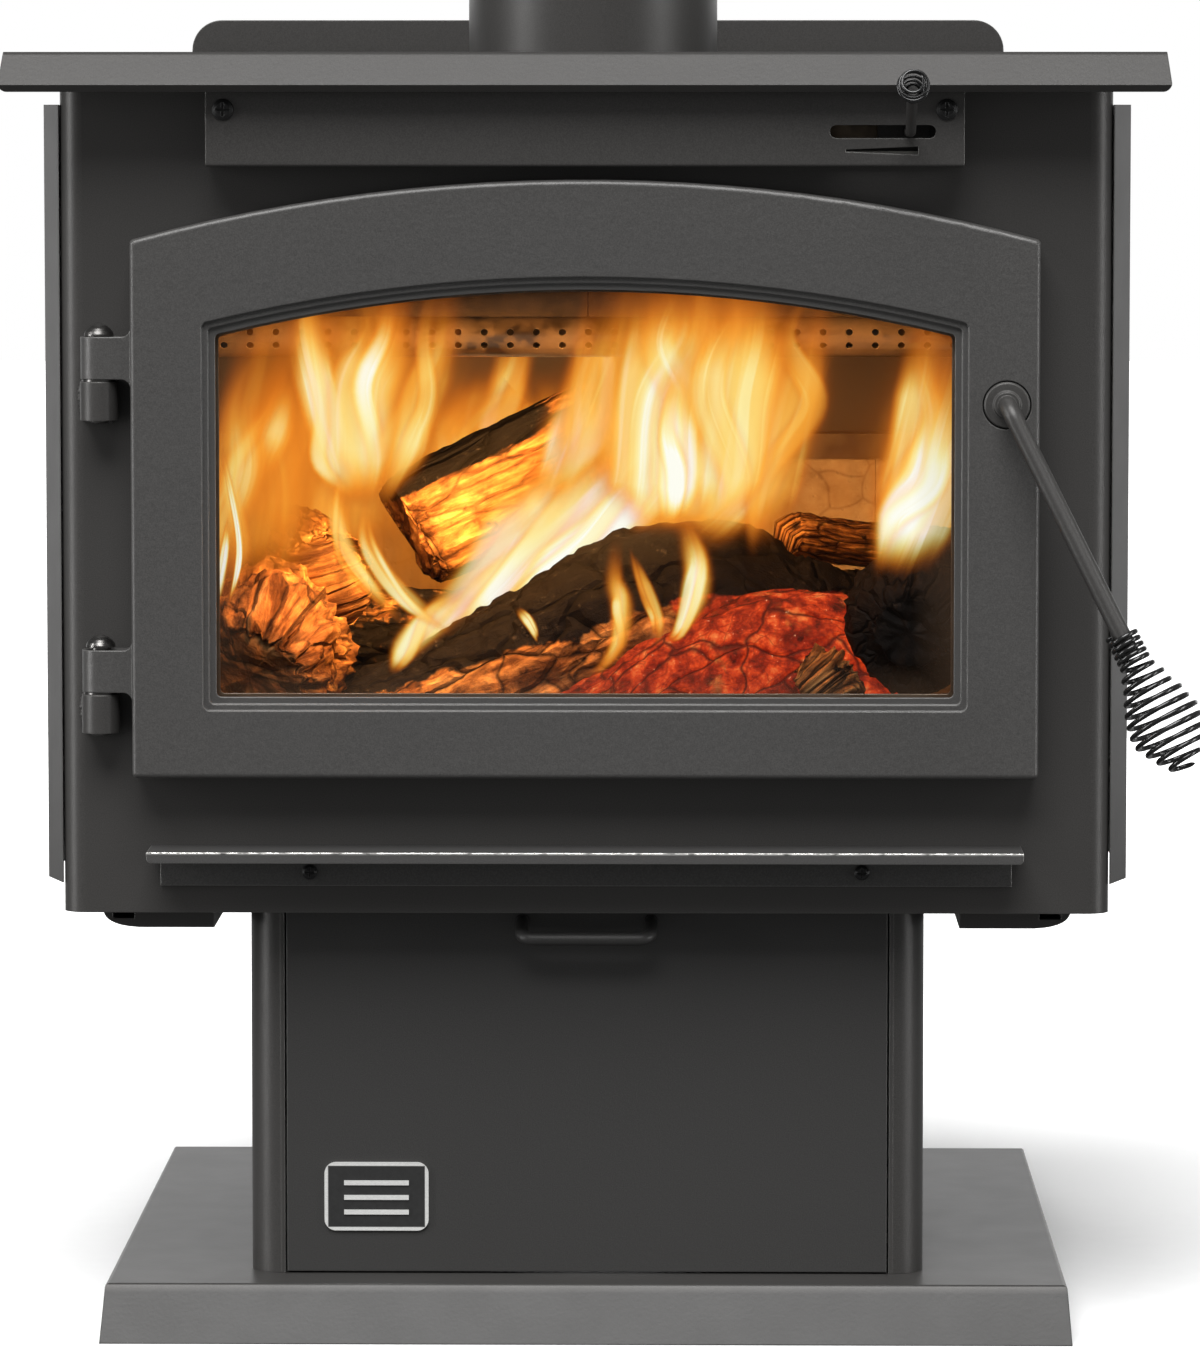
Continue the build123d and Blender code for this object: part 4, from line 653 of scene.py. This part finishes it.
BARK_DEPTH, CHIP_DEPTH, END_ROUGHNESS = 0.0030, 0.0022, 0.004


def square_factor(angle, squareness):
    c, s = abs(math.cos(angle)), abs(math.sin(angle))
    return (c ** squareness + s ** squareness) ** (-1 / squareness)


def log_surface(place, angle, along, radius, seed, squareness, roll, lump, furrow):
    """Radius of the log at this angle, with its section, lumps, bark furrows and cross cracks."""
    r = radius * square_factor(angle - roll, squareness)
    around = Vector((math.cos(angle), math.sin(angle), 0))
    r *= 1 + lump * noise.fractal(around * 1.1 + Vector((0, seed, along * 14)), 1.0, 2.0, 3)
    grain = noise.fractal(around * 5.0 + Vector((seed, 0, along * 16)), 0.9, 2.1, 4)
    r += furrow * BARK_DEPTH * (abs(grain) * 2 - 0.8)
    chips = noise.voronoi(place * 55 + Vector((seed, seed, 0)))[0]
    r -= furrow * CHIP_DEPTH * max(0.0, 1 - (chips[1] - chips[0]) * 7)
    return r


def burning_log(name, knots, seed, squareness, roll, lump, furrow, char, glow):
    length = sum((Vector(a[:3]) - Vector(b[:3])).length for a, b in zip(knots, knots[1:]))
    rows = smooth_path(knots, max(12, int(length / LOG_STEP)))
    path = [Vector(r[:3]) * MM for r in rows]
    axes = frames_along(path)
    rings = [(0, share) for share in reversed(END_RINGS)] + [(i, 1.0) for i in range(len(path))]
    rings += [(len(path) - 1, share) for share in END_RINGS]
    points, uvs = [], []
    for at, share in rings:
        tangent, side, up = axes[at]
        along = at * LOG_STEP * MM
        radius = rows[at][3] * MM
        for j in range(LOG_SIDES):
            angle = FULL_TURN * j / LOG_SIDES
            out = side * math.cos(angle) + up * math.sin(angle)
            skin = path[at] + out * radius
            r = log_surface(skin, angle, along, radius, seed, squareness, roll, lump, furrow)
            place = path[at] + out * ((radius + (r - radius) * share ** 1.5) * share)
            if share < 1.0 or at in (0, len(path) - 1):
                ragged = noise.fractal(place * 120 + Vector((seed, 0, 0)), 1.0, 2.0, 3)
                place += tangent * (ragged * END_ROUGHNESS * (1 if at else -1))
            points.append(place)
            flat = (share * radius * math.cos(angle) * 0.6, share * radius * math.sin(angle) * 0.6)
            uvs.append(flat if share < 1.0 else (j / LOG_SIDES * FULL_TURN * 0.05, along))
    for first in (0, (len(rings) - 1) * LOG_SIDES):
        points.append(sum(points[first:first + LOG_SIDES], Vector()) / LOG_SIDES)
        uvs.append((0, 0))
    values = {"burnt": [burnt_at(name, p, char) for p in points],
              "hot": [hot_at(name, p, glow) for p in points]}
    new_mesh(name, points, tube_faces(len(rings), LOG_SIDES), WOOD.material, "stove", uvs=uvs, values=values)


def step(value, low, high):
    t = min(1.0, max(0.0, (value - low) / (high - low)))
    return t * t * (3 - 2 * t)


def burnt_at(name, p, char):
    """How black the log is at a point: the front log's ridge and left end, and the leaning log's top."""
    if name == "log_front":
        ridge = step(p.z - (0.405 + 0.32 * p.x if p.x < 0.06 else 0.424), 0.004, 0.03)
        return max(ridge, step(p.x, -0.14, -0.17) * 0.9, char * 0.6)
    if name == "log_charred":
        top = step(p.z - 0.495 - 0.45 * (p.x + 0.06), 0.022, 0.034)
        return max(char, top * step(-0.03, p.x - 0.02, p.x + 0.02))
    return char


def hot_at(name, p, glow):
    """How red hot the log is at a point: the front log only under its ridge on the right."""
    if name == "log_front":
        return step(p.x, 0.03, 0.075) * step(p.z, 0.452, 0.436) * step(p.x, 0.17, 0.15)
    return glow


def wood():
    """Burning wood: barky grain, flecked charcoal and red-hot cracked charcoal, by burnt and hot."""
    f = Finish("burning_wood")
    flow = f.node("UVMap", uv_map="flow").outputs["UV"]
    burnt, hot = f.per_point("burnt"), f.per_point("hot")
    wobble = f.warp(f.stretch((95, 26, 1), flow), 0.7, 1.4)
    fibres = f.grain(1.0, 6.0, 0.68, wobble)
    bark = f.ramp(fibres, [(0.30, (0.018, 0.007, 0.003)), (0.44, (0.12, 0.045, 0.014)),
                           (0.56, (0.33, 0.145, 0.045)), (0.72, (0.60, 0.34, 0.13))])
    bark = f.blend(f.span(f.grain(34, 4.0, 0.62), 0.42, 0.66, 0.0, 0.8), bark, (0.030, 0.012, 0.005))
    ash = f.span(f.grain(210, 5.0, 0.7), 0.60, 0.76, 0.0, 0.35)
    coal = f.blend(ash, (0.0055, 0.0042, 0.0036), (0.12, 0.095, 0.08))
    ragged = f.plus(burnt, f.swing(f.grain(60, 4.0, 0.6), 1.2))
    black = f.span(ragged, 0.40, 0.58, smooth=True)
    grid = f.warp(f.stretch((44, 25, 1), flow), 1.1, 0.9)
    cracks = f.cells(1.0, where=grid)
    line = f.span(cracks, 0.0, 0.06, 1.0, 0.0, smooth=True)
    colour = f.blend(black, bark, coal)
    split = f.times(line, f.span(burnt, 0.05, 0.4, 0.0, 0.9))
    colour = f.blend(split, colour, (0.004, 0.003, 0.002))
    fine = f.cells(3.1, where=f.warp(grid, 2.0, 0.6))
    ember = f.ramp(f.grain(75, 5.0, 0.66), [(0.34, (0.045, 0.002, 0.0006)), (0.46, (0.30, 0.013, 0.002)),
                                            (0.57, (0.70, 0.055, 0.008)), (0.72, (1.0, 0.26, 0.06))])
    ember = f.blend(f.span(fine, 0.0, 0.08, 0.6, 0.0), ember, (0.16, 0.006, 0.001))
    ember = f.blend(f.times(line, 0.9), ember, (0.05, 0.002, 0.001))
    glint = f.span(f.grain(300, 4.0, 0.7), 0.66, 0.74, 0.0, 0.9)
    ember = f.blend(glint, ember, (1.0, 0.55, 0.30))
    share = f.plus(hot, f.swing(f.grain(30, 5.0, 0.62), 1.3))
    lit = f.times(f.span(share, 0.42, 0.62, smooth=True), f.span(hot, 0.0, 0.02))
    height = f.plus(f.times(fibres, 0.7), f.times(f.span(cracks, 0.0, 0.12), 0.8))
    height = f.plus(height, f.times(f.grain(160, 4.0, 0.7), 0.4))
    f.surface(Base_Color=f.blend(lit, colour, (0.02, 0.008, 0.006)),
              Roughness=f.fade(black, 0.9, 0.7), Specular_IOR_Level=0.08, Normal=f.bump(height, 0.9, 0.004),
              Emission_Color=ember, Emission_Strength=f.times(lit, 0.95))
    f.material.cycles.emission_sampling = "NONE"
    return f


# --- fire: coals
# The bed's low corner and size in metres, its columns and rows, and where and how high it heaps up.
BED_LOW, BED_SIZE, BED_GRID = (-0.262, -0.243), (0.524, 0.395), (150, 110)
HEAP_MIDDLE_Y, HEAP_HEIGHT, COAL_HEIGHT, COAL_GRIT = -0.045, 0.052, 0.014, 0.004
BED_DEPTH, BED_LEAST = 0.004, 0.001


def coal_bed():
    """Heap of coals and ash on the brick floor, lumpy, highest under the logs."""
    floor_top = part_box("floor_bricks")[1].z
    columns, rows = BED_GRID
    points, burnt, hot = [], [], []
    for j in range(rows + 1):
        for i in range(columns + 1):
            x = BED_LOW[0] + BED_SIZE[0] * i / columns
            y = BED_LOW[1] + BED_SIZE[1] * j / rows
            heap = step(abs(x), 0.262, 0.10) * step(abs(y - HEAP_MIDDLE_Y), 0.195, 0.06)
            lump = noise.voronoi(Vector((x * 42, y * 42, 1.7)))[0][0]
            rough = noise.fractal(Vector((x * 60, y * 60, 4.0)), 1.0, 2.0, 4)
            coals = (COAL_HEIGHT * (1 - lump) + COAL_GRIT * rough) * (0.35 + 0.65 * heap)
            z = floor_top + BED_DEPTH + heap * HEAP_HEIGHT + coals
            points.append(Vector((x, y, max(z, floor_top + BED_LEAST))))
            burnt.append(0.95)
            hot.append(0.25 + 0.5 * heap * step(noise.noise(Vector((x * 16, y * 16, 9))), -0.2, 0.35))
    new_mesh("coal_bed", points, grid_faces(columns, rows), WOOD.material, "stove",
             uvs=[(p.x, p.y) for p in points], values={"burnt": burnt, "hot": hot})


# --- fire: flames
# A flame is (group, y, knots (x, z, half width, warmth)) in mm. Warmth goes from 0, dull orange, to 1, white.
FLAMES = [
    ("left", -173, [(-140, 496, 18, 0.55), (-140, 540, 34, 0.58), (-132, 590, 40, 0.52),
     (-126, 660, 40, 0.45)]),
    ("core", -174, [(60, 478, 34, 0.66), (66, 520, 50, 0.68), (72, 580, 54, 0.62), (78, 665, 52, 0.56)]),
    ("core", -28, [(-96, 404, 14, 0.75), (-58, 438, 24, 0.85), (-18, 474, 32, 0.9), (14, 520, 34, 0.8),
     (28, 570, 26, 0.6)]),
    ("left", -190, [(-143, 499, 8.9, 0.7), (-153, 526, 16.4, 0.75), (-162, 564, 18.4, 0.75),
     (-168, 609, 17.3, 0.65), (-162, 650, 15.5, 0.6)]),
    ("left", -210, [(-137, 498, 10.1, 0.7), (-134, 534, 21.5, 0.8), (-134, 573, 23.8, 0.7),
     (-122, 603, 19.1, 0.6), (-113, 650, 17.9, 0.5)]),
    ("left", -230, [(-131, 496, 5.3, 0.6), (-113, 538, 18.4, 0.6), (-98, 571, 15.4, 0.5),
     (-89, 603, 14.9, 0.5), (-83, 650, 17.8, 0.4)]),
    ("left", -248, [(-108, 431, 4, 0.5), (-131, 458, 5.5, 0.6), (-146, 482, 6.5, 0.62),
     (-150, 506, 8.6, 0.6), (-144, 534, 8, 0.5)]),
    ("left", -256, [(-78, 428, 4.6, 0.6), (-105, 446, 6.8, 0.66), (-123, 467, 6.2, 0.6),
     (-132, 490, 6.2, 0.6), (-130, 520, 6.8, 0.5)]),
    ("edge", -188, [(-227, 438, 10.3, 0.5), (-224, 480, 18.7, 0.45), (-215, 523, 18.7, 0.45),
     (-203, 565, 18.1, 0.4), (-191, 613, 15.1, 0.35)]),
    ("edge", -222, [(-217, 443, 2.4, 0.8), (-211, 476, 2.7, 0.85), (-216, 512, 2.7, 0.7),
     (-222, 542, 2.4, 0.6)]),
    ("edge", -230, [(-225, 441, 2.7, 0.9), (-220, 471, 3.3, 0.95), (-217, 498, 2.7, 0.8)]),
    ("edge", -178, [(-198, 464, 24.5, 0.3), (-192, 513, 27.5, 0.32), (-182, 556, 27.5, 0.3),
     (-179, 599, 21.4, 0.28)]),
    ("core", -12, [(-117, 395, 7.4, 0.85), (-98, 414, 14.2, 0.95), (-70, 437, 22.2, 1), (-46, 468, 28, 1),
     (-21, 502, 30, 1), (-2, 540, 20, 0.85)]),
    ("core", -46, [(-70, 422, 9.2, 0.9), (-33, 450, 16, 1), (4, 475, 21.6, 1), (33, 500, 22, 1),
     (48, 533, 20, 1), (54, 573, 13, 0.9)]),
    ("core", -200, [(30, 483, 11.9, 0.85), (40, 513, 32.8, 0.85), (43, 564, 37.3, 0.75),
     (48, 609, 38.8, 0.7), (45, 650, 35.8, 0.65)]),
    ("core", -220, [(77, 487, 11.9, 0.8), (83, 519, 27.4, 0.75), (89, 564, 33.4, 0.65), (95, 609, 31, 0.6),
     (101, 650, 29.8, 0.5)]),
    ("core", -188, [(104, 471, 9, 0.6), (113, 513, 18.5, 0.55), (122, 561, 24.5, 0.5),
     (134, 602, 21.5, 0.4), (144, 648, 18.5, 0.35)]),
    ("core", -64, [(-28, 490, 21.7, 0.85), (-12, 531, 23.3, 0.75), (0, 572, 17.4, 0.55),
     (13, 609, 16.1, 0.45), (19, 648, 13, 0.4)]),
    ("core", 110, [(-53, 506, 18, 0.5), (-59, 535, 23.7, 0.55), (-59, 553, 20.6, 0.45),
     (-53, 587, 16.2, 0.38), (-47, 630, 13.1, 0.3)]),
    ("core", 105, [(-96, 488, 12, 0.5), (-100, 514, 20, 0.45), (-83, 540, 26, 0.42),
     (-68, 572, 22.8, 0.35)]),
    ("core", -242, [(50, 488, 12, 0.9), (55, 525, 17, 0.95), (54, 560, 15, 0.85), (58, 610, 10, 0.7)]),
    ("right", -206, [(183, 458, 13.9, 0.95), (199, 492, 26, 0.95), (211, 523, 27, 0.85), (223, 562, 25, 0.7),
     (234, 640, 25, 0.55)]),
    ("right", -186, [(180, 474, 9, 0.8), (187, 512, 15, 0.62), (198, 554, 18.6, 0.6),
     (207, 590, 18.6, 0.5), (216, 645, 18, 0.4)]),
    ("veil", 110, [(-70, 470, 24, 0.40), (-60, 520, 46, 0.42), (-50, 550, 46, 0.36), (-42, 576, 40, 0.28)]),
    ("veil", 100, [(-170, 440, 24, 0.40), (-165, 490, 46, 0.42), (-150, 545, 50, 0.36),
     (-140, 600, 44, 0.28)]),
    ("veil", -171, [(-205, 440, 26, 0.30), (-192, 500, 40, 0.36), (-180, 570, 44, 0.32),
     (-165, 650, 40, 0.30)]),
    ("veil", -176, [(20, 500, 50, 0.45), (30, 550, 60, 0.42), (40, 600, 60, 0.38), (46, 660, 50, 0.3)]),
    ("front", -250, [(48, 420, 2.7, 0.55), (58, 433, 6.5, 0.65), (66, 454, 10.1, 0.7), (63, 478, 11.3, 0.72),
     (57, 502, 9.5, 0.7)]),
    ("front", -238, [(-1, 397, 2.7, 0.5), (18, 419, 6.5, 0.5), (21, 443, 8.6, 0.5), (16, 460, 7.4, 0.5),
     (18, 487, 5.9, 0.5)]),
    ("front", -240, [(-29, 423, 1.2, 0.6), (-34, 433, 3.6, 0.8), (-43, 443, 3, 0.7)]),
    ("front", -226, [(26, 475, 3.6, 0.5), (37, 449, 5.1, 0.45), (43, 431, 5.1, 0.4), (40, 418, 2.4, 0.3)]),
    ("front", -170, [(-122, 398, 4, 0.55), (-112, 414, 10, 0.7), (-94, 430, 12, 0.85),
     (-66, 446, 13, 0.95)]),
]
COPIES, COPY_GAP = 3, 6
FLAME_ACROSS, FLAME_STEP = 10, 5.0
FLAME_SPREAD, FLAME_CURVE, FLAME_UV = 1.5, 0.12, 0.03
CARRIED = ("across", "life", "warmth", "seed")


def flame_ribbon(y, knots, seed, store):
    """Adds one curved ribbon of flame to the store of points, faces, uvs and values."""
    length = sum(math.dist(a[:2], b[:2]) for a, b in zip(knots, knots[1:]))
    rows = smooth_path(knots, max(8, int(length / FLAME_STEP)))
    path = [Vector((r[0], 0, r[1])) for r in rows]
    store["faces"] += grid_faces(FLAME_ACROSS, len(path) - 1, len(store["points"]))
    for i, (place, row) in enumerate(zip(path, rows)):
        width, warmth = row[2:]
        ahead = heading(path, i)
        side = Vector((ahead.z, 0, -ahead.x))
        t = i / (len(path) - 1)
        for j in range(FLAME_ACROSS + 1):
            u = 2 * j / FLAME_ACROSS - 1
            bulge = -(1 - u * u) * width * FLAME_CURVE
            sway = noise.noise(Vector((seed, t * 3, u))) * width * FLAME_CURVE
            depth = Vector((0, y + bulge + sway, 0))
            store["points"].append((place + side * (u * width * FLAME_SPREAD) + depth) * MM)
            store["uvs"].append((u * width * FLAME_UV, i * FLAME_STEP * FLAME_UV))
            for key, value in zip(CARRIED, (u, min(1.0, t * 4, (1 - t) * 2.4), warmth, seed)):
                store[key].append(value)


def glowing_piece(name, points, faces, material, **carried):
    """A glowing piece, a flame or the painted firelight glow, which casts no shadow and lights nothing."""
    piece = new_mesh(name, points, faces, material, "stove", **carried)
    piece.visible_shadow = False
    piece.visible_diffuse = False


def flames():
    groups = {}
    for number, (group, y, knots) in enumerate(FLAMES):
        store = groups.setdefault(group, {k: [] for k in ("points", "faces", "uvs", *CARRIED)})
        for copy in range(COPIES):
            shift = random.Random(number * 7 + copy)
            moved = [(x + shift.uniform(-0.35, 0.35) * w * copy, z + shift.uniform(-3, 3) * copy,
                      w * (1 - 0.28 * copy), h + shift.uniform(-0.12, 0.14) * copy) for x, z, w, h in knots]
            flame_ribbon(y - COPY_GAP * copy, moved, number * 3.7 + copy * 1.9, store)
    for group, store in groups.items():
        glowing_piece(f"flames_{group}", store["points"], store["faces"], FLAME.material,
            uvs=store["uvs"], values={k: store[k] for k in CARRIED})


def flame():
    """Silky flame: streaks along each ribbon, soft sides and tips, dull orange to white."""
    f = Finish("flame")
    flow = f.node("UVMap", uv_map="flow").outputs["UV"]
    across, life, warmth, seed = (f.per_point(k) for k in CARRIED)
    shift = f.node("CombineXYZ", {"X": seed, "Y": seed, "Z": seed}).outputs[0]
    own = f.vector("ADD", {0: flow, 1: shift}).outputs[0]
    wavy = f.warp(f.stretch((1.0, 0.30, 1), own), 0.6, 0.45)
    broad = f.grain(1.0, 1.0, 0.5, f.stretch((2.4, 0.55, 1), wavy))
    thread = f.span(f.grain(1.0, 2.0, 0.5, f.stretch((7.5, 0.55, 1), wavy)), 0.50, 0.66, smooth=True)
    pushed = f.plus(across, f.swing(broad, 1.0))
    soft = f.maths("MAXIMUM", f.maths("SUBTRACT", 1.0, f.times(pushed, pushed)), 0.0)
    inside = f.maths("SUBTRACT", 1.0, f.maths("POWER", f.maths("ABSOLUTE", across), 2.4))
    body = f.times(f.times(f.maths("POWER", soft, 1.5), inside), life)
    density = f.span(f.times(body, f.plus(broad, 0.5)), 0.0, 1.05, smooth=True)
    silk = f.times(f.times(thread, body), f.times(warmth, 0.22))
    level = f.plus(f.times(f.maths("POWER", density, 0.75), f.plus(f.times(warmth, 0.95), 0.08)), silk)
    colour = f.ramp(level, [(0.0, (0.28, 0.05, 0.004)), (0.18, (0.60, 0.13, 0.008)),
                            (0.34, (0.88, 0.25, 0.018)), (0.48, (1.0, 0.42, 0.045)),
                            (0.62, (1.0, 0.66, 0.15)), (0.74, (1.0, 0.84, 0.34)),
                            (0.86, (1.0, 0.95, 0.58)), (1.0, (1.0, 1.0, 0.90))])
    opacity = f.maths("POWER", f.plus(density, silk), 1.25)
    opacity = f.times(opacity, f.span(warmth, 0.2, 1.0, 0.42, 0.95))
    f.thin_glow(colour, f.maths("MINIMUM", opacity, 0.97))
    return f


# A glow is (x, z, reach across, reach up, strength) in mm: a patch of painted orange firelight glow on a sheet
# in front of the back bricks, behind the flames.
GLOWS = [(-205, 470, 55, 80, 0.75), (-125, 560, 60, 70, 0.6), (-60, 490, 60, 50, 0.8), (20, 470, 90, 50, 1.0),
         (75, 590, 60, 70, 0.8), (225, 500, 45, 70, 0.9), (150, 480, 50, 60, 0.12), (-40, 440, 120, 50, 0.7)]
GLOW_SHEET_LOW, GLOW_SHEET_SIZE, GLOW_SHEET_GRID, GLOW_SHEET_Y, GLOW_SHEET_WAVE, MOST_GLOW = (-270, 345), (540, 245), (60, 44), 138, 8, 1.3


def painted_firelight_glow():
    """Painted firelight glow: a hazy emitting sheet in front of the back bricks, brightest behind the flames.
    """
    columns, rows = GLOW_SHEET_GRID
    points, values = [], []
    for j in range(rows + 1):
        for i in range(columns + 1):
            x = GLOW_SHEET_LOW[0] + GLOW_SHEET_SIZE[0] * i / columns
            z = GLOW_SHEET_LOW[1] + GLOW_SHEET_SIZE[1] * j / rows
            y = GLOW_SHEET_Y + GLOW_SHEET_WAVE * math.sin(i * 0.21) * math.cos(j * 0.17)
            points.append(Vector((x, y, z)) * MM)
            total = sum(s * math.exp(-((x - gx) / rx) ** 2 - ((z - gz) / rz) ** 2)
                        for gx, gz, rx, rz, s in GLOWS)
            values.append(min(MOST_GLOW, total))
    f = Finish("painted_firelight_glow")
    cloud = f.grain(16, 4.0, 0.6, f.warp(f.stretch((1, 1, 0.45)), 9, 0.08))
    level = f.times(f.per_point("glow"), f.span(cloud, 0.25, 0.7, 0.55, 1.1))
    colour = f.ramp(level, [(0.0, (0.040, 0.009, 0.002)), (0.30, (0.20, 0.048, 0.006)),
                            (0.60, (0.58, 0.16, 0.014)), (0.85, (0.86, 0.30, 0.03)),
                            (1.0, (1.0, 0.46, 0.06))])
    f.thin_glow(colour, f.span(level, 0.0, 0.9, 0.30, 0.93))
    glowing_piece("painted_firelight_glow", points, grid_faces(columns, rows), f.material, values={"glow": values})


# --- studio
# A light is (name, place, target, (width, height), watts) in metres, then a colour for the fire's own.
WARM, YELLOW = (1.0, 0.42, 0.10), (1.0, 0.55, 0.18)
FIRE_LIGHTS = [
    ("fire_above", (0.0, -0.228, 0.60), (0, -0.06, 0.40), (0.42, 0.05), 1.5, WARM),
    ("fire_core", (-0.02, -0.13, 0.56), (-0.06, 0.05, 0.49), (0.18, 0.10), 2.6, YELLOW),
    ("fire_left", (-0.12, -0.16, 0.52), (-0.19, -0.06, 0.42), (0.06, 0.08), 0.7, YELLOW),
    ("fire_low_left", (-0.13, -0.282, 0.50), (-0.20, -0.20, 0.41), (0.07, 0.05), 0.4, WARM),
    ("fire_back", (0.0, -0.05, 0.50), (0, 0.16, 0.42), (0.4, 0.1), 0.5, WARM),
]
STUDIO_LIGHTS = [
    ("strip_left", (-3.0, -1.3, 1.0), (0, 0, 0.5), (0.5, 2.8), 60),
    ("strip_right", (3.0, -1.3, 1.0), (0, 0, 0.5), (0.5, 2.8), 42),
    ("backdrop", (0, 3.6, 0.65), (0, 0, 0.35), (7.0, 1.7), 46),
]
SUN_STRENGTH, SUN_ANGLE, SUN_AIM = 4.1, 42, (0.12, 0.82, -1.2)
AMBIENT, SEEN_WHITE = 0.19, 1.0
FLOOR_RINGS, FLOOR_SPOKES, FLOOR_FIRST, FLOOR_GROWTH = 24, 96, 0.45, 1.16
FLOOR_FADE, FLOOR_GLOW = (0.35, 1.3), 0.45
SENSOR, LENS, CLIP = 36, 177.7, (0.1, 60)
CAMERA_PLACE, CAMERA_AIM = (0.065, -4.270, 0.740), (-0.0141, 1.0, -0.0844)
GAS_LAYERS = 96


def studio_stage():
    """Plain pale floor, a wide disc that glows to white away from the stove. Only the camera sees it."""
    points, faces = [Vector((0, 0, 0))], []
    for i in range(1, FLOOR_RINGS + 1):
        reach = FLOOR_FIRST * FLOOR_GROWTH ** i
        for j in range(FLOOR_SPOKES):
            angle = FULL_TURN * j / FLOOR_SPOKES
            points.append(Vector((reach * math.cos(angle), reach * math.sin(angle), 0)))
    for j in range(FLOOR_SPOKES):
        faces.append((0, 1 + j, 1 + (j + 1) % FLOOR_SPOKES))
    for i in range(FLOOR_RINGS - 1):
        for j in range(FLOOR_SPOKES):
            k = (j + 1) % FLOOR_SPOKES
            a, b = 1 + i * FLOOR_SPOKES, 1 + (i + 1) * FLOOR_SPOKES
            faces.append((a + j, b + j, b + k, a + k))
    f = Finish("studio_white")
    tooth = f.grain(60)
    away = f.vector("LENGTH", {0: f.place}).outputs["Value"]
    f.surface(Base_Color=f.blend(tooth, grey(0.93), grey(0.96)), Roughness=0.9,
              Normal=f.bump(tooth, 0.02, 0.001), Emission_Color=(1, 1, 1, 1),
              Emission_Strength=f.span(away, *FLOOR_FADE, 0.0, FLOOR_GLOW))
    mesh = bpy.data.meshes.new("studio_floor")
    mesh.from_pydata(points, [], faces)
    mesh.materials.append(f.material)
    floor = placed("studio_floor", mesh)
    floor.visible_diffuse = False
    floor.visible_glossy = False


def area_light(name, place, target, size, power, colour=None):
    """A rectangular lamp that the camera doesn't see. A coloured one isn't reflected either."""
    lamp = bpy.data.lights.new(name, "AREA")
    lamp.shape = "RECTANGLE"
    lamp.size, lamp.size_y = size
    lamp.energy = power
    lamp.color = colour or (1, 1, 1)
    holder = placed(name, lamp, place, Vector(target) - Vector(place))
    holder.visible_camera = False
    holder.visible_glossy = colour is None


def lights():
    overhead = bpy.data.lights.new("overhead", "SUN")
    overhead.energy = SUN_STRENGTH
    overhead.angle = math.radians(SUN_ANGLE)
    placed("overhead", overhead, aim=SUN_AIM)
    for row in STUDIO_LIGHTS + FIRE_LIGHTS:
        area_light(*row)


def studio_world():
    """White seen behind the stove, and a softer even light from all round."""
    world = bpy.data.worlds.new("studio_world")
    world.use_nodes = True
    tree = world.node_tree
    ray = tree.nodes.new("ShaderNodeLightPath")
    either = tree.nodes.new("ShaderNodeMixShader")
    tree.links.new(ray.outputs["Is Camera Ray"], either.inputs[0])
    for socket, strength in ((1, AMBIENT), (2, SEEN_WHITE)):
        white = tree.nodes.new("ShaderNodeBackground")
        white.inputs["Color"].default_value = (1, 1, 1, 1)
        white.inputs["Strength"].default_value = strength
        tree.links.new(white.outputs[0], either.inputs[socket])
    tree.links.new(either.outputs[0], tree.nodes["World Output"].inputs["Surface"])
    bpy.context.scene.world = world


def camera():
    lens = bpy.data.cameras.new("camera")
    lens.sensor_width = SENSOR
    lens.lens = LENS
    lens.clip_start, lens.clip_end = CLIP
    bpy.context.scene.camera = placed("camera", lens, CAMERA_PLACE, CAMERA_AIM)


def colour_management():
    settings = bpy.context.scene.view_settings
    settings.view_transform = "Standard"
    settings.look = "None"
    bpy.context.scene.cycles.transparent_max_bounces = GAS_LAYERS
    bpy.context.scene.cycles.use_denoising = True


camera()
colour_management()
studio_stage()
studio_world()
FINISHES = slot_finishes()
dress_cad_nodes(FINISHES)
WOOD = wood()
FLAME = flame()
for coil in COILS:
    wire_coil(*coil)
hinge_welds()
for row in LOGS:
    burning_log(*row)
coal_bed()
painted_firelight_glow()
flames()
lights()
